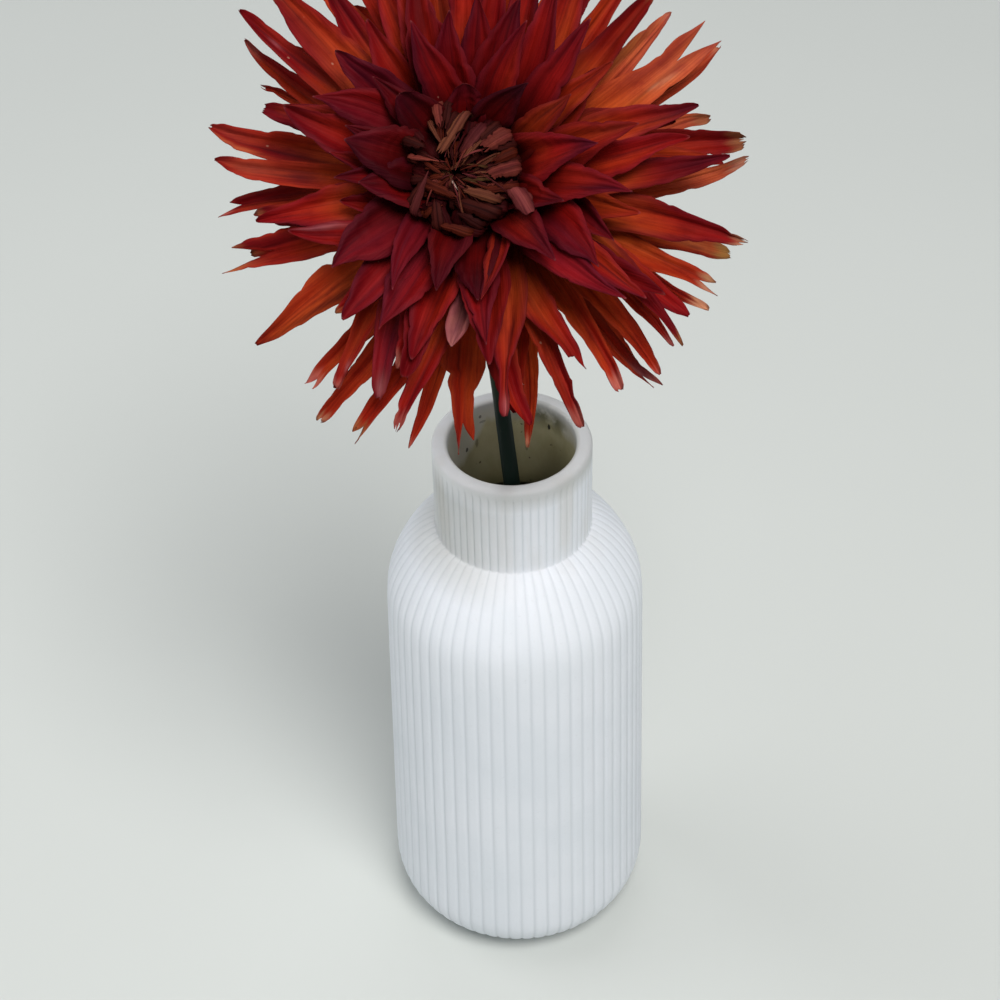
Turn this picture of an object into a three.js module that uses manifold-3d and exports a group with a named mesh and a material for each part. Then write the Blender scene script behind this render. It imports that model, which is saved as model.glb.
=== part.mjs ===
// Semi-cactus dahlia, one cut flower on its stem, standing in a ribbed ceramic bottle vase.
// Millimetres, +Z up. The origin is the middle of the vase's flat foot; the flower faces -Y and up.
import * as THREE from 'three';
import { mergeVertices } from 'three/addons/utils/BufferGeometryUtils.js';
import Module from 'manifold-3d';

const wasm = await Module();
wasm.setup();

// ---------------------------------------------------------------- driving dimensions
const DEG = Math.PI / 180;

// vase
const VASE_HEIGHT = 208.2;
const NECK_OUTER_R = 25.0;
const NECK_INNER_R = 20.0;
const NECK_FOOT_Z = 175.0;      // where the neck meets the shoulder
const SHOULDER_R = 41.8;        // body radius at the top of the wall
const SHOULDER_Z = 150.5;
const SHOULDER_POWER = 1.44;    // roundness of the shoulder curve
const BODY_FOOT_R = 44.7;       // the wall flares slightly towards the foot
const FOOT_CORNER_R = 20.0;     // big rounded corner under the wall
const WALL = 5.0;
const FLOOR = 6.0;
const RIM_SOFT = 1.2;           // softened edge of the rim
const RIB_COUNT = 60;
const RIB_DEPTH = 0.6;
const RIB_TOP_Z = 205.6;

// flower head: centre of the receptacle, and the direction it faces
const HEAD_CENTRE = new THREE.Vector3(-7.2, -30.0, 322.2);
const FACE_AZIMUTH = 12 * DEG;  // turned from -Y towards -X
const FACE_ELEVATION = 44 * DEG;
const RECEPTACLE_R = 14.5;      // ellipsoid that carries the florets
const RECEPTACLE_H = 11.5;
const CORE_GAP = 1.7;           // core surface below the floret bases
const COLLAR_IN = 0.75;         // a row's collar reaches this far under the base ellipsoid
const COLLAR_OUT = 0.5;
const COLLAR_HALF = 0.42;

// rows of ray florets lie on nested surfaces round the head's axis
const ROWS = 12;
const BASE_ANGLE = [36, 105];   // first and last row, from the axis
const LEAVE_ANGLE = [27, 98];
const TIP_ANGLE = [80, 113];
const FLORET_THICK = 0.9;

// stem
const STEM_R_FOOT = 2.75;
const STEM_R_NECK = 2.45;
const STEM_R_TOP = 2.2;
const STEM_R_FLARE = 5.5;

// ---------------------------------------------------------------- helpers
// each florets entry: length, base azimuth, tip azimuth, width, lift off its row's surface
const RAY_FLORETS = [
  [ // row 1
    [32.4, -97.6, -93.4, 9.6, 0.7],
    [34.0, -42.8, -38.5, 9.1, -0.7],
    [33.2, -13.0, -13.0, 9.5, 0.7],
    [34.8, 20.7, 15.7, 12.8, -0.7],
    [26.7, 97.0, 56.8, 8.5, 0.7],
    [20.2, 112.1, 96.6, 7.5, -0.7],
    [24.9, 130.4, 136.3, 8.0, 0.7],
    [30.9, 169.3, 172.8, 11.7, 0.0],
    [26.0, 208.9, 193.6, 9.1, -0.7],
  ],
  [ // row 2
    [37.2, -170.0, -170.0, 8.6, -0.7],
    [33.3, -145.9, -112.7, 5.9, 0.7],
    [31.0, -71.7, -76.4, 10.1, -0.7],
    [31.4, -23.5, -75.1, 6.9, 0.7],
    [41.6, 5.2, -2.0, 11.7, -0.7],
    [37.0, 39.0, 39.0, 8.9, 0.7],
    [37.5, 80.0, 72.6, 8.5, -0.7],
    [37.1, 106.2, 116.8, 9.1, 0.7],
    [37.2, 141.0, 141.0, 9.2, -0.7],
    [36.3, 166.0, 166.0, 9.2, 0.7],
  ],
  [ // row 3
    [37.0, -145.0, -136.9, 9.6, 0.7],
    [41.0, -108.1, -110.1, 9.1, -0.7],
    [40.5, -75.0, -75.0, 8.6, 0.7],
    [48.9, -39.4, -32.9, 8.0, -0.7],
    [38.6, -8.8, -29.1, 8.5, 0.7],
    [40.8, 19.0, 19.0, 9.5, -0.7],
    [44.2, 46.1, 55.2, 9.1, 0.7],
    [40.2, 79.0, 79.0, 9.9, -0.7],
    [35.6, 107.4, 102.6, 10.1, 0.7],
    [38.6, 135.7, 160.1, 8.5, 0.0],
    [30.1, 192.7, 177.3, 6.9, -0.7],
  ],
  [ // row 4
    [25.9, -154.1, -162.3, 8.0, -0.7],
    [41.8, -122.0, -122.6, 11.7, 0.7],
    [42.5, -99.0, -99.0, 8.6, -0.7],
    [42.9, -76.0, -76.0, 9.3, 0.7],
    [50.0, -23.0, -29.6, 7.5, -0.7],
    [35.1, 7.2, -20.1, 7.5, 0.7],
    [38.5, 40.0, 42.0, 6.9, -0.7],
    [48.3, 60.3, 70.8, 8.5, 0.7],
    [37.5, 95.9, 92.1, 9.6, -0.7],
    [48.2, 124.4, 110.3, 8.5, 0.7],
    [39.0, 139.2, 144.4, 10.1, -0.7],
    [43.0, 171.0, 167.0, 9.6, 0.7],
  ],
  [ // row 5
    [39.4, -134.0, -156.3, 8.0, -0.7],
    [45.7, -106.3, -99.8, 9.1, 0.7],
    [35.3, -76.8, -87.9, 6.4, -0.7],
    [50.9, -42.0, -26.0, 8.4, 0.7],
    [36.4, -6.7, -8.1, 7.5, -0.7],
    [48.0, 11.2, 14.7, 8.5, 0.7],
    [32.7, 37.0, 45.0, 8.1, -0.7],
    [36.3, 58.0, 71.1, 9.1, 0.7],
    [44.2, 92.0, 87.8, 8.5, -0.7],
    [51.1, 111.0, 115.0, 9.0, 0.7],
    [38.7, 134.3, 130.3, 9.1, -0.7],
    [38.9, 169.0, 169.0, 8.9, 0.7],
  ],
  [ // row 6
    [46.1, -162.8, -162.6, 9.1, -0.7],
    [38.3, -119.0, -127.0, 8.6, 0.7],
    [41.5, -96.0, -104.0, 8.1, -0.7],
    [52.0, -62.8, -74.6, 11.7, 0.7],
    [59.3, -15.8, -31.8, 6.9, -0.7],
    [55.4, -2.7, 9.4, 7.5, 0.7],
    [49.7, 26.9, 22.1, 8.5, -0.7],
    [54.8, 53.0, 69.0, 8.3, 0.7],
    [54.5, 79.3, 80.8, 8.0, -0.7],
    [52.2, 105.8, 97.4, 9.1, 0.7],
    [50.5, 126.9, 121.5, 8.5, -0.7],
    [46.0, 162.6, 169.0, 9.1, 0.7],
  ],
  [ // row 7
    [40.7, -170.0, -162.0, 8.9, -0.7],
    [49.5, -128.8, -106.2, 8.5, 0.7],
    [55.9, -87.6, -100.5, 6.9, -0.7],
    [45.6, -54.8, -52.1, 7.5, 0.7],
    [54.0, -17.5, -26.8, 7.5, -0.7],
    [60.7, -4.7, -6.8, 9.1, 0.7],
    [41.4, 30.0, 22.0, 8.2, -0.7],
    [55.7, 65.2, 66.0, 9.1, 0.7],
    [57.1, 91.0, 91.0, 8.6, -0.7],
    [57.0, 123.7, 114.9, 8.5, 0.7],
    [66.8, 149.5, 142.6, 10.1, -0.7],
    [43.7, 170.0, 166.0, 8.1, 0.7],
  ],
  [ // row 8
    [51.3, -132.7, -117.9, 8.5, 0.7],
    [47.3, -88.0, -100.0, 8.8, -0.7],
    [56.4, -55.2, -59.1, 7.5, 0.7],
    [53.7, -26.8, -32.7, 5.9, -0.7],
    [56.0, -13.5, -17.6, 8.5, 0.7],
    [50.7, 18.0, 10.0, 8.0, -0.7],
    [53.6, 48.8, 52.7, 9.6, 0.7],
    [56.0, 93.0, 93.0, 8.0, -0.7],
    [57.2, 113.0, 117.0, 8.0, 0.7],
    [58.2, 136.5, 133.4, 9.1, -0.7],
    [65.5, 160.0, 150.5, 8.0, 0.7],
    [58.3, 185.7, 181.5, 7.2, -0.7],
  ],
  [ // row 9
    [47.2, -166.0, -166.0, 8.9, -0.7],
    [58.5, -145.9, -138.5, 12.3, 0.7],
    [60.9, -96.1, -110.8, 7.5, -0.7],
    [43.6, -68.0, -76.0, 8.7, 0.7],
    [55.2, -26.1, -39.5, 8.0, -0.7],
    [55.1, 1.0, -7.0, 8.5, 0.7],
    [58.7, 29.0, 40.0, 10.1, -0.7],
    [54.9, 64.0, 68.0, 8.9, 0.7],
    [60.0, 88.9, 92.0, 8.0, -0.7],
    [62.1, 127.8, 127.3, 8.5, 0.7],
    [55.4, 151.0, 151.0, 9.1, -0.7],
    [61.5, 174.9, 174.4, 8.0, 0.7],
  ],
  [ // row 10
    [60.8, -178.5, -170.8, 6.4, -0.7],
    [59.2, -157.0, -159.2, 8.5, 0.7],
    [55.3, -140.0, -140.0, 8.2, -0.7],
    [61.4, -110.9, -120.0, 6.9, 0.7],
    [49.8, -80.0, -72.0, 8.9, -0.7],
    [51.0, -37.0, -48.0, 7.5, 0.7],
    [54.7, -16.8, -22.1, 5.3, -0.7],
    [56.1, 17.2, 15.7, 6.9, 0.7],
    [53.9, 35.6, 49.6, 6.9, -0.7],
    [61.0, 75.1, 77.8, 8.5, 0.7],
    [63.2, 117.8, 108.4, 8.0, -0.7],
    [65.4, 167.0, 154.4, 7.5, 0.7],
  ],
  [ // row 11
    [53.3, -160.0, -160.0, 8.9, -0.7],
    [57.9, -124.5, -127.9, 6.4, 0.7],
    [53.8, -106.0, -122.0, 9.0, -0.7],
    [56.3, -84.7, -88.3, 12.3, 0.7],
    [45.6, -64.0, -76.0, 9.1, -0.7],
    [56.3, -37.6, -42.8, 6.4, 0.7],
    [57.2, -7.0, 12.5, 5.9, -0.7],
    [59.6, 22.3, 37.0, 5.3, 0.7],
    [61.0, 64.5, 63.3, 7.5, -0.7],
    [53.2, 97.0, 97.0, 8.5, 0.7],
    [75.0, 131.3, 135.3, 8.0, -0.7],
    [58.5, 168.7, 159.6, 4.8, 0.7],
  ],
  [ // row 12
    [53.3, -152.0, -144.0, 8.1, -0.7],
    [58.6, -98.3, -100.5, 6.4, 0.7],
    [56.0, -64.2, -74.0, 6.4, -0.7],
    [49.9, -39.0, -43.0, 9.1, 0.7],
    [56.4, -12.4, -7.7, 4.8, -0.7],
    [50.4, 23.4, 26.7, 4.8, 0.7],
    [47.3, 40.1, 53.4, 4.3, -0.7],
    [51.9, 80.0, 80.0, 8.0, 0.7],
    [51.8, 106.0, 106.0, 8.6, -0.7],
    [53.4, 131.0, 131.0, 9.1, 0.7],
    [52.1, 157.0, 157.0, 9.0, 0.0],
  ],
];

function clean(geometry) {
  const g = geometry.clone();
  g.deleteAttribute('normal');
  g.deleteAttribute('uv');
  const m = mergeVertices(g, 1e-4);
  const idx = m.index.array, pos = m.attributes.position;
  const keep = [];
  const a = new THREE.Vector3(), b = new THREE.Vector3(), c = new THREE.Vector3();
  let vol = 0;
  for (let i = 0; i < idx.length; i += 3) {
    const [p, q, r] = [idx[i], idx[i + 1], idx[i + 2]];
    if (p === q || q === r || p === r) continue;
    a.fromBufferAttribute(pos, p); b.fromBufferAttribute(pos, q); c.fromBufferAttribute(pos, r);
    vol += a.dot(b.clone().cross(c));
    keep.push(p, q, r);
  }
  if (vol < 0) for (let i = 0; i < keep.length; i += 3) [keep[i], keep[i + 1]] = [keep[i + 1], keep[i]];
  m.setIndex(keep);
  return m;
}

function toSolid(geometry) {
  const m = clean(geometry);
  return new wasm.Manifold(new wasm.Mesh({
    numProp: 3,
    vertProperties: new Float32Array(m.attributes.position.array),
    triVerts: new Uint32Array(m.index.array),
  }));
}

function toGeometry(solid) {
  const mesh = solid.getMesh();
  const g = new THREE.BufferGeometry();
  const v = new Float32Array(mesh.numVert * 3);
  for (let i = 0; i < mesh.numVert; i++) for (let j = 0; j < 3; j++) v[3 * i + j] = mesh.vertProperties[i * mesh.numProp + j];
  g.setAttribute('position', new THREE.BufferAttribute(v, 3));
  g.setIndex(Array.from(mesh.triVerts));
  return g;
}

function joined(parts) {
  let s = toSolid(parts[0]);
  for (let i = 1; i < parts.length; i++) s = s.add(toSolid(parts[i]));
  return s;
}

function finish(geometry) {
  const g = geometry.toNonIndexed();
  g.computeVertexNormals();
  return g;
}

const lerp = THREE.MathUtils.lerp;
function ramp(table, t) {
  for (let i = 1; i < table.length; i++) {
    if (t <= table[i][0]) {
      const [t0, a] = table[i - 1], [t1, b] = table[i];
      return a + (b - a) * (t - t0) / (t1 - t0);
    }
  }
  return table[table.length - 1][1];
}

// ---------------------------------------------------------------- head surfaces
// In the head's own frame +Y is the way the flower faces and +X is to its right.
function rowShape(k) {
  const u = k / (ROWS - 1);
  const beta = lerp(BASE_ANGLE[0], BASE_ANGLE[1], u) * DEG;
  const g0 = lerp(LEAVE_ANGLE[0], LEAVE_ANGLE[1], u) * DEG;
  const g1 = (TIP_ANGLE[0] + (TIP_ANGLE[1] - TIP_ANGLE[0]) * u ** 0.95) * DEG;
  const len = u < 0.6 ? 40 + 22 * Math.min(1, u * 1.9) : 62 - 4 * (u - 0.6) / 0.4;
  return { beta, g0, bend: (g1 - g0) / len };
}

// point of a surface at arc length s, lifted along its front-facing normal;
// a surface may run straight for a stretch before it bends
function onSurface(shape, s, azimuth, lift) {
  const { beta, g0, bend, straight = 0 } = shape;
  const run = straight ? Math.min(s, straight) : 0;
  const g = g0 + bend * (s - run);
  let rho = RECEPTACLE_R * Math.sin(beta) + run * Math.sin(g0), h = RECEPTACLE_H * Math.cos(beta) + run * Math.cos(g0);
  rho += (Math.cos(g0) - Math.cos(g)) / bend;
  h += (Math.sin(g) - Math.sin(g0)) / bend;
  rho -= lift * Math.cos(g);
  h += lift * Math.sin(g);
  return { rho, h, p: new THREE.Vector3(rho * Math.cos(azimuth), h, -rho * Math.sin(azimuth)) };
}

const FLORET_WIDTH = [[0, 0.58], [0.1, 0.72], [0.22, 0.9], [0.36, 1.0], [0.5, 1.02], [0.62, 0.95], [0.72, 0.78], [0.8, 0.6], [0.87, 0.42], [1, 0.04]];
const FLORET_STEPS = [0, 0.24, 0.5, 0.78, 1];

// a boat-shaped blade: four-sided, thick along its middle and thin at its two edges
function blade(shape, length, base, tip, width, lift, thick, cup, widthTable = FLORET_WIDTH, start = -0.45) {
  const g = new THREE.ConeGeometry(1, 1, 4, FLORET_STEPS.length - 1);
  g.deleteAttribute('normal');
  g.deleteAttribute('uv');
  const m = mergeVertices(g, 1e-5);
  const pos = m.attributes.position;
  for (let i = 0; i < pos.count; i++) {
    const x = pos.getX(i), y = pos.getY(i), z = pos.getZ(i);
    const ring = Math.round((y + 0.5) * (FLORET_STEPS.length - 1));
    const t = FLORET_STEPS[ring];
    const s = start + (length - start) * t;
    const az = (base + (tip - base) * t ** 0.8) * DEG;
    const r = Math.hypot(x, z);
    let side = 0, up = 0;
    if (r > 1e-6) { side = Math.round(x / r); up = Math.round(z / r); }
    const w = 0.5 * width * ramp(widthTable, t);
    const th = 0.5 * thick * (1 - 0.45 * t);
    const bow = cup * Math.sin(Math.PI * Math.min(1, t * 0.9 + 0.05));
    let off = lift * t + (side !== 0 ? bow : -0.25 * bow) + up * th;
    const mid = onSurface(shape, s, az, off);
    const p = onSurface(shape, s, az + side * w / Math.max(3, mid.rho), off).p;
    pos.setXYZ(i, p.x, p.y, p.z);
  }
  return m;
}

// the ring that joins a row at its bases
function collar(shape, half = COLLAR_HALF, inner = COLLAR_IN, outer = COLLAR_OUT, segments = 12) {
  const { beta } = shape;
  const c = new THREE.Vector2(RECEPTACLE_R * Math.sin(beta), RECEPTACLE_H * Math.cos(beta));
  // outward normal and tangent of the base ellipse
  const n = new THREE.Vector2(Math.sin(beta) / RECEPTACLE_R, Math.cos(beta) / RECEPTACLE_H).normalize();
  const t = new THREE.Vector2(n.y, -n.x);
  const at = (a, b) => new THREE.Vector2(c.x + n.x * a + t.x * b, c.y + n.y * a + t.y * b);
  const pts = [at(-inner, -half), at(outer, -half), at(outer, half), at(-inner, half), at(-inner, -half)];
  return new THREE.LatheGeometry(pts, segments);
}

// ---------------------------------------------------------------- vase
function vaseGeometry() {
  // outside, solid: from the middle of the foot up to the middle of the top
  const outer = [];
  const add = (r, z, rib) => outer.push({ r, z, rib });
  add(0, 0, 0);
  add(BODY_FOOT_R - FOOT_CORNER_R, 0, 0);
  for (const a of [30, 60, 90]) {
    add(BODY_FOOT_R - FOOT_CORNER_R + FOOT_CORNER_R * Math.sin(a * DEG), FOOT_CORNER_R * (1 - Math.cos(a * DEG)), a < 40 ? 0.7 : 1);
  }
  add(SHOULDER_R, SHOULDER_Z, 1);
  for (const a of [22, 44, 66]) {
    const c = Math.cos(a * DEG) ** (2 / SHOULDER_POWER), s = Math.sin(a * DEG) ** (2 / SHOULDER_POWER);
    add(NECK_OUTER_R + (SHOULDER_R - NECK_OUTER_R) * c, SHOULDER_Z + (NECK_FOOT_Z - SHOULDER_Z) * s, 1);
  }
  add(NECK_OUTER_R, NECK_FOOT_Z, 1);
  add(NECK_OUTER_R, RIB_TOP_Z, 1);
  add(NECK_OUTER_R, RIB_TOP_Z + 0.9, 0);
  add(NECK_OUTER_R - RIM_SOFT, VASE_HEIGHT, 0);
  add(0, VASE_HEIGHT, 0);
  const segments = RIB_COUNT * 2;
  const body = new THREE.LatheGeometry(outer.map((p) => new THREE.Vector2(p.r, p.z)), segments);
  const pos = body.attributes.position;
  const n = outer.length;
  for (let i = 0; i < pos.count; i++) {
    const column = Math.floor(i / n) % segments, p = outer[i % n];
    // crest and groove columns take turns
    if (p.rib && column % 2 === 1) {
      const k = (p.r - RIB_DEPTH * p.rib) / p.r;
      pos.setX(i, pos.getX(i) * k);
      pos.setZ(i, pos.getZ(i) * k);
    }
  }
  // inside: bore of the neck and the hollow of the body
  const bore = [
    [0, FLOOR], [BODY_FOOT_R - WALL - 15, FLOOR], [BODY_FOOT_R - WALL - 4.4, FLOOR + 4.4], [BODY_FOOT_R - WALL, FLOOR + 15],
    [SHOULDER_R - WALL, SHOULDER_Z - 6], [SHOULDER_R - WALL - 3.6, SHOULDER_Z + 6], [NECK_INNER_R + 4.5, NECK_FOOT_Z - 5.2],
    [NECK_INNER_R, NECK_FOOT_Z - 2], [NECK_INNER_R, VASE_HEIGHT - RIM_SOFT], [NECK_INNER_R + RIM_SOFT, VASE_HEIGHT],
    [NECK_INNER_R + RIM_SOFT, VASE_HEIGHT + 5], [0, VASE_HEIGHT + 5],
  ];
  const hollow = new THREE.LatheGeometry(bore.map(([r, z]) => new THREE.Vector2(r, z)), 40);
  body.rotateX(Math.PI / 2);
  hollow.rotateX(Math.PI / 2);
  return toGeometry(toSolid(body).subtract(toSolid(hollow)));
}

// ---------------------------------------------------------------- stem with its receptacle
const faceDir = new THREE.Vector3(
  -Math.sin(FACE_AZIMUTH) * Math.cos(FACE_ELEVATION),
  -Math.cos(FACE_AZIMUTH) * Math.cos(FACE_ELEVATION),
  Math.sin(FACE_ELEVATION));
const rightDir = new THREE.Vector3(0, 0, 1).cross(faceDir).normalize();
const upDir = faceDir.clone().cross(rightDir);
const headMatrix = new THREE.Matrix4().makeBasis(rightDir, faceDir, upDir.clone().negate()).setPosition(HEAD_CENTRE);
const alongFace = (d) => HEAD_CENTRE.clone().addScaledVector(faceDir, d);

const stemCurve = new THREE.CatmullRomCurve3([
  new THREE.Vector3(15.6, -7.9, FLOOR + 0.7),
  new THREE.Vector3(7.6, -12.6, 107),
  new THREE.Vector3(-0.5, -17.15, 208),
  new THREE.Vector3(-3.7, -18.9, 248),
  new THREE.Vector3(-6.3, -20.0, 280),
  new THREE.Vector3(-6.9, -19.3, 297),
  alongFace(-15.5),
  alongFace(-8.0),
], false, 'centripetal');
const STEM_RADII = [[0, STEM_R_FOOT], [0.62, STEM_R_NECK], [0.86, STEM_R_TOP], [0.93, STEM_R_TOP + 0.3], [0.965, STEM_R_TOP + 1.1], [1, STEM_R_FLARE]];

function stemGeometry() {
  const steps = 16, sides = 8;
  const g = new THREE.CylinderGeometry(1, 1, 1, sides, steps);
  g.deleteAttribute('normal');
  g.deleteAttribute('uv');
  const m = mergeVertices(g, 1e-5);
  const frames = stemCurve.computeFrenetFrames(steps, false);
  // finer steps where the stem bends behind the head
  const param = [];
  for (let i = 0; i <= steps; i++) param.push(i <= 6 ? (i / 6) * 0.76 : 0.76 + (i - 6) / (steps - 6) * 0.24);
  const pos = m.attributes.position;
  const side = new THREE.Vector3(), other = new THREE.Vector3();
  for (let i = 0; i < pos.count; i++) {
    const ring = Math.round((pos.getY(i) + 0.5) * steps);
    const u = param[ring];
    const c = stemCurve.getPointAt(u), t = stemCurve.getTangentAt(u);
    side.set(1, 0, 0).addScaledVector(t, -t.x).normalize();
    other.crossVectors(t, side);
    const r = ramp(STEM_RADII, u);
    c.addScaledVector(side, pos.getX(i) * r).addScaledVector(other, pos.getZ(i) * r);
    pos.setXYZ(i, c.x, c.y, c.z);
  }
  return m;
}

function receptacleGeometry() {
  const rr = RECEPTACLE_R - CORE_GAP, rh = RECEPTACLE_H - CORE_GAP;
  const pts = [];
  for (let a = 180; a >= 0; a -= 22.5) pts.push(new THREE.Vector2(Math.max(0, rr * Math.sin(a * DEG)), rh * Math.cos(a * DEG)));
  pts[0].x = 0; pts[pts.length - 1].x = 0;
  const g = new THREE.LatheGeometry(pts, 16);
  g.applyMatrix4(headMatrix);
  return g;
}

// ---------------------------------------------------------------- assemble
const mat = (color, roughness) => new THREE.MeshStandardMaterial({ color, roughness, metalness: 0 });
const whiteCeramic = mat(0xdfe3e6, 0.55);
const greenStem = mat(0x24382c, 0.6);
const object = new THREE.Group();
const head = new THREE.Group();
head.applyMatrix4(headMatrix);
object.add(head);

function place(parent, name, geometry, material) {
  const mesh = new THREE.Mesh(finish(geometry), material);
  mesh.name = name;
  parent.add(mesh);
}

place(object, 'vase', vaseGeometry(), whiteCeramic);
place(object, 'stem', toGeometry(joined([receptacleGeometry(), stemGeometry()])), greenStem);

// ray florets, row by row, from the eye outwards
const rowColours = [0x4a0c1c, 0x5a1020, 0x681420, 0x7a1820, 0x861c20, 0x922020, 0x9c2820, 0xa43020, 0xac3a22, 0xb04424, 0xb44c26, 0xb25228];
RAY_FLORETS.forEach((row, k) => {
  const shape = rowShape(k);
  const parts = [collar(shape)];
  for (const [length, base, tip, width, lift] of row) {
    parts.push(blade(shape, length, base, tip, width * 1.08, lift, FLORET_THICK, 0.07 * width));
  }
  place(head, `ray_florets_row_${String(k + 1).padStart(2, '0')}`, toGeometry(joined(parts)), mat(rowColours[k], 0.5));
});

// centre: young florets still folded over the eye
const CENTRE_ROWS = [
  // base angle, leaving angle, straight run, bend (degrees per mm), length, count, width, first azimuth
  [27.5, 33, 11.5, -11.4, 22.5, 10, 5.2, 8],
  [18.5, 22, 9.0, -12.6, 18.0, 7, 4.4, 28],
  [9.5, 7, 8.0, -14.3, 13.0, 4, 3.2, 3],
];
const CENTRE_WIDTH = [[0, 0.5], [0.24, 0.7], [0.5, 0.95], [0.78, 0.95], [1, 0.14]];
CENTRE_ROWS.forEach(([b, g0, straight, bend, length, count, width, first], i) => {
  const shape = { beta: b * DEG, g0: g0 * DEG, bend: bend * DEG, straight };
  const parts = [collar(shape, 0.45)];
  for (let j = 0; j < count; j++) {
    const az = first + j * 360 / count;
    parts.push(blade(shape, length, az, az + 9, width, 0, 1.5, 0.25, CENTRE_WIDTH));
  }
  place(head, `centre_florets_row_${i + 1}`, toGeometry(joined(parts)), mat([0x6a3a3a, 0x7a4a44, 0x84584c][i], 0.6));
});

// bracts behind the head
const innerShape = rowShape(12);
innerShape.bend = 0.004;
{
  const parts = [collar(innerShape)];
  for (let j = 0; j < 8; j++) parts.push(blade(innerShape, 22, 12 + j * 45, 14 + j * 45, 10.5, j % 2 ? 0.4 : -0.4, 0.9, 0.2, [[0, 0.7], [0.4, 1], [0.7, 0.95], [1, 0.1]]));
  place(head, 'inner_bracts', toGeometry(joined(parts)), mat(0x8a7a4c, 0.6));
}
const outerShape = { beta: 121 * DEG, g0: 116 * DEG, bend: 22 * DEG / 17 };
for (let j = 0; j < 5; j++) {
  const az = 20 + j * 72;
  place(head, `outer_bract_${j + 1}`, clean(blade(outerShape, 17, az, az + 3, 7.5, 0, 1.6, 0.3, [[0, 0.6], [0.4, 0.85], [0.7, 1.0], [1, 0.15]], 0.4)), mat(0x3c5a34, 0.6));
}

export default object;
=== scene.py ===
"""Semi-cactus dahlia, one cut flower in a ribbed white bottle vase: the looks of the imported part."""
import math

import bpy
import numpy as np
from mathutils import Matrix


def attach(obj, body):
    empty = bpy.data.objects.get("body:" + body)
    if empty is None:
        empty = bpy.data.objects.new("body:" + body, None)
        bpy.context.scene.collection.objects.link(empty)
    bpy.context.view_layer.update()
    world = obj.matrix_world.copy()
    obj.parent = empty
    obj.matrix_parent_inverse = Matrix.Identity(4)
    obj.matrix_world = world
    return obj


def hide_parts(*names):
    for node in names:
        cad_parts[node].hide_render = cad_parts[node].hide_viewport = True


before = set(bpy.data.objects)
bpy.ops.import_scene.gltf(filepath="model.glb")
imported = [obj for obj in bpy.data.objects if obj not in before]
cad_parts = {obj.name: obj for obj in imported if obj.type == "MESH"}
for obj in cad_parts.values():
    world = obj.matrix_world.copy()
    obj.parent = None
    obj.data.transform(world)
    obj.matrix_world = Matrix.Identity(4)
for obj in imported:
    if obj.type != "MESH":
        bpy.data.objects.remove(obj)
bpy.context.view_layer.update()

MM = 0.001
DEG = math.pi / 180

# ------------------------------------------------------------------ sizes shared with the CAD (mm)
HEAD = np.array([-7.2, -30.0, 322.2])
AZ, EL = 12 * DEG, 44 * DEG
A = np.array([-math.sin(AZ) * math.cos(EL), -math.cos(AZ) * math.cos(EL), math.sin(EL)])
U = np.cross([0, 0, 1], A)
U /= np.linalg.norm(U)
V = np.cross(A, U)
REC_R, REC_H = 14.5, 11.5
ROWS = 12

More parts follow.
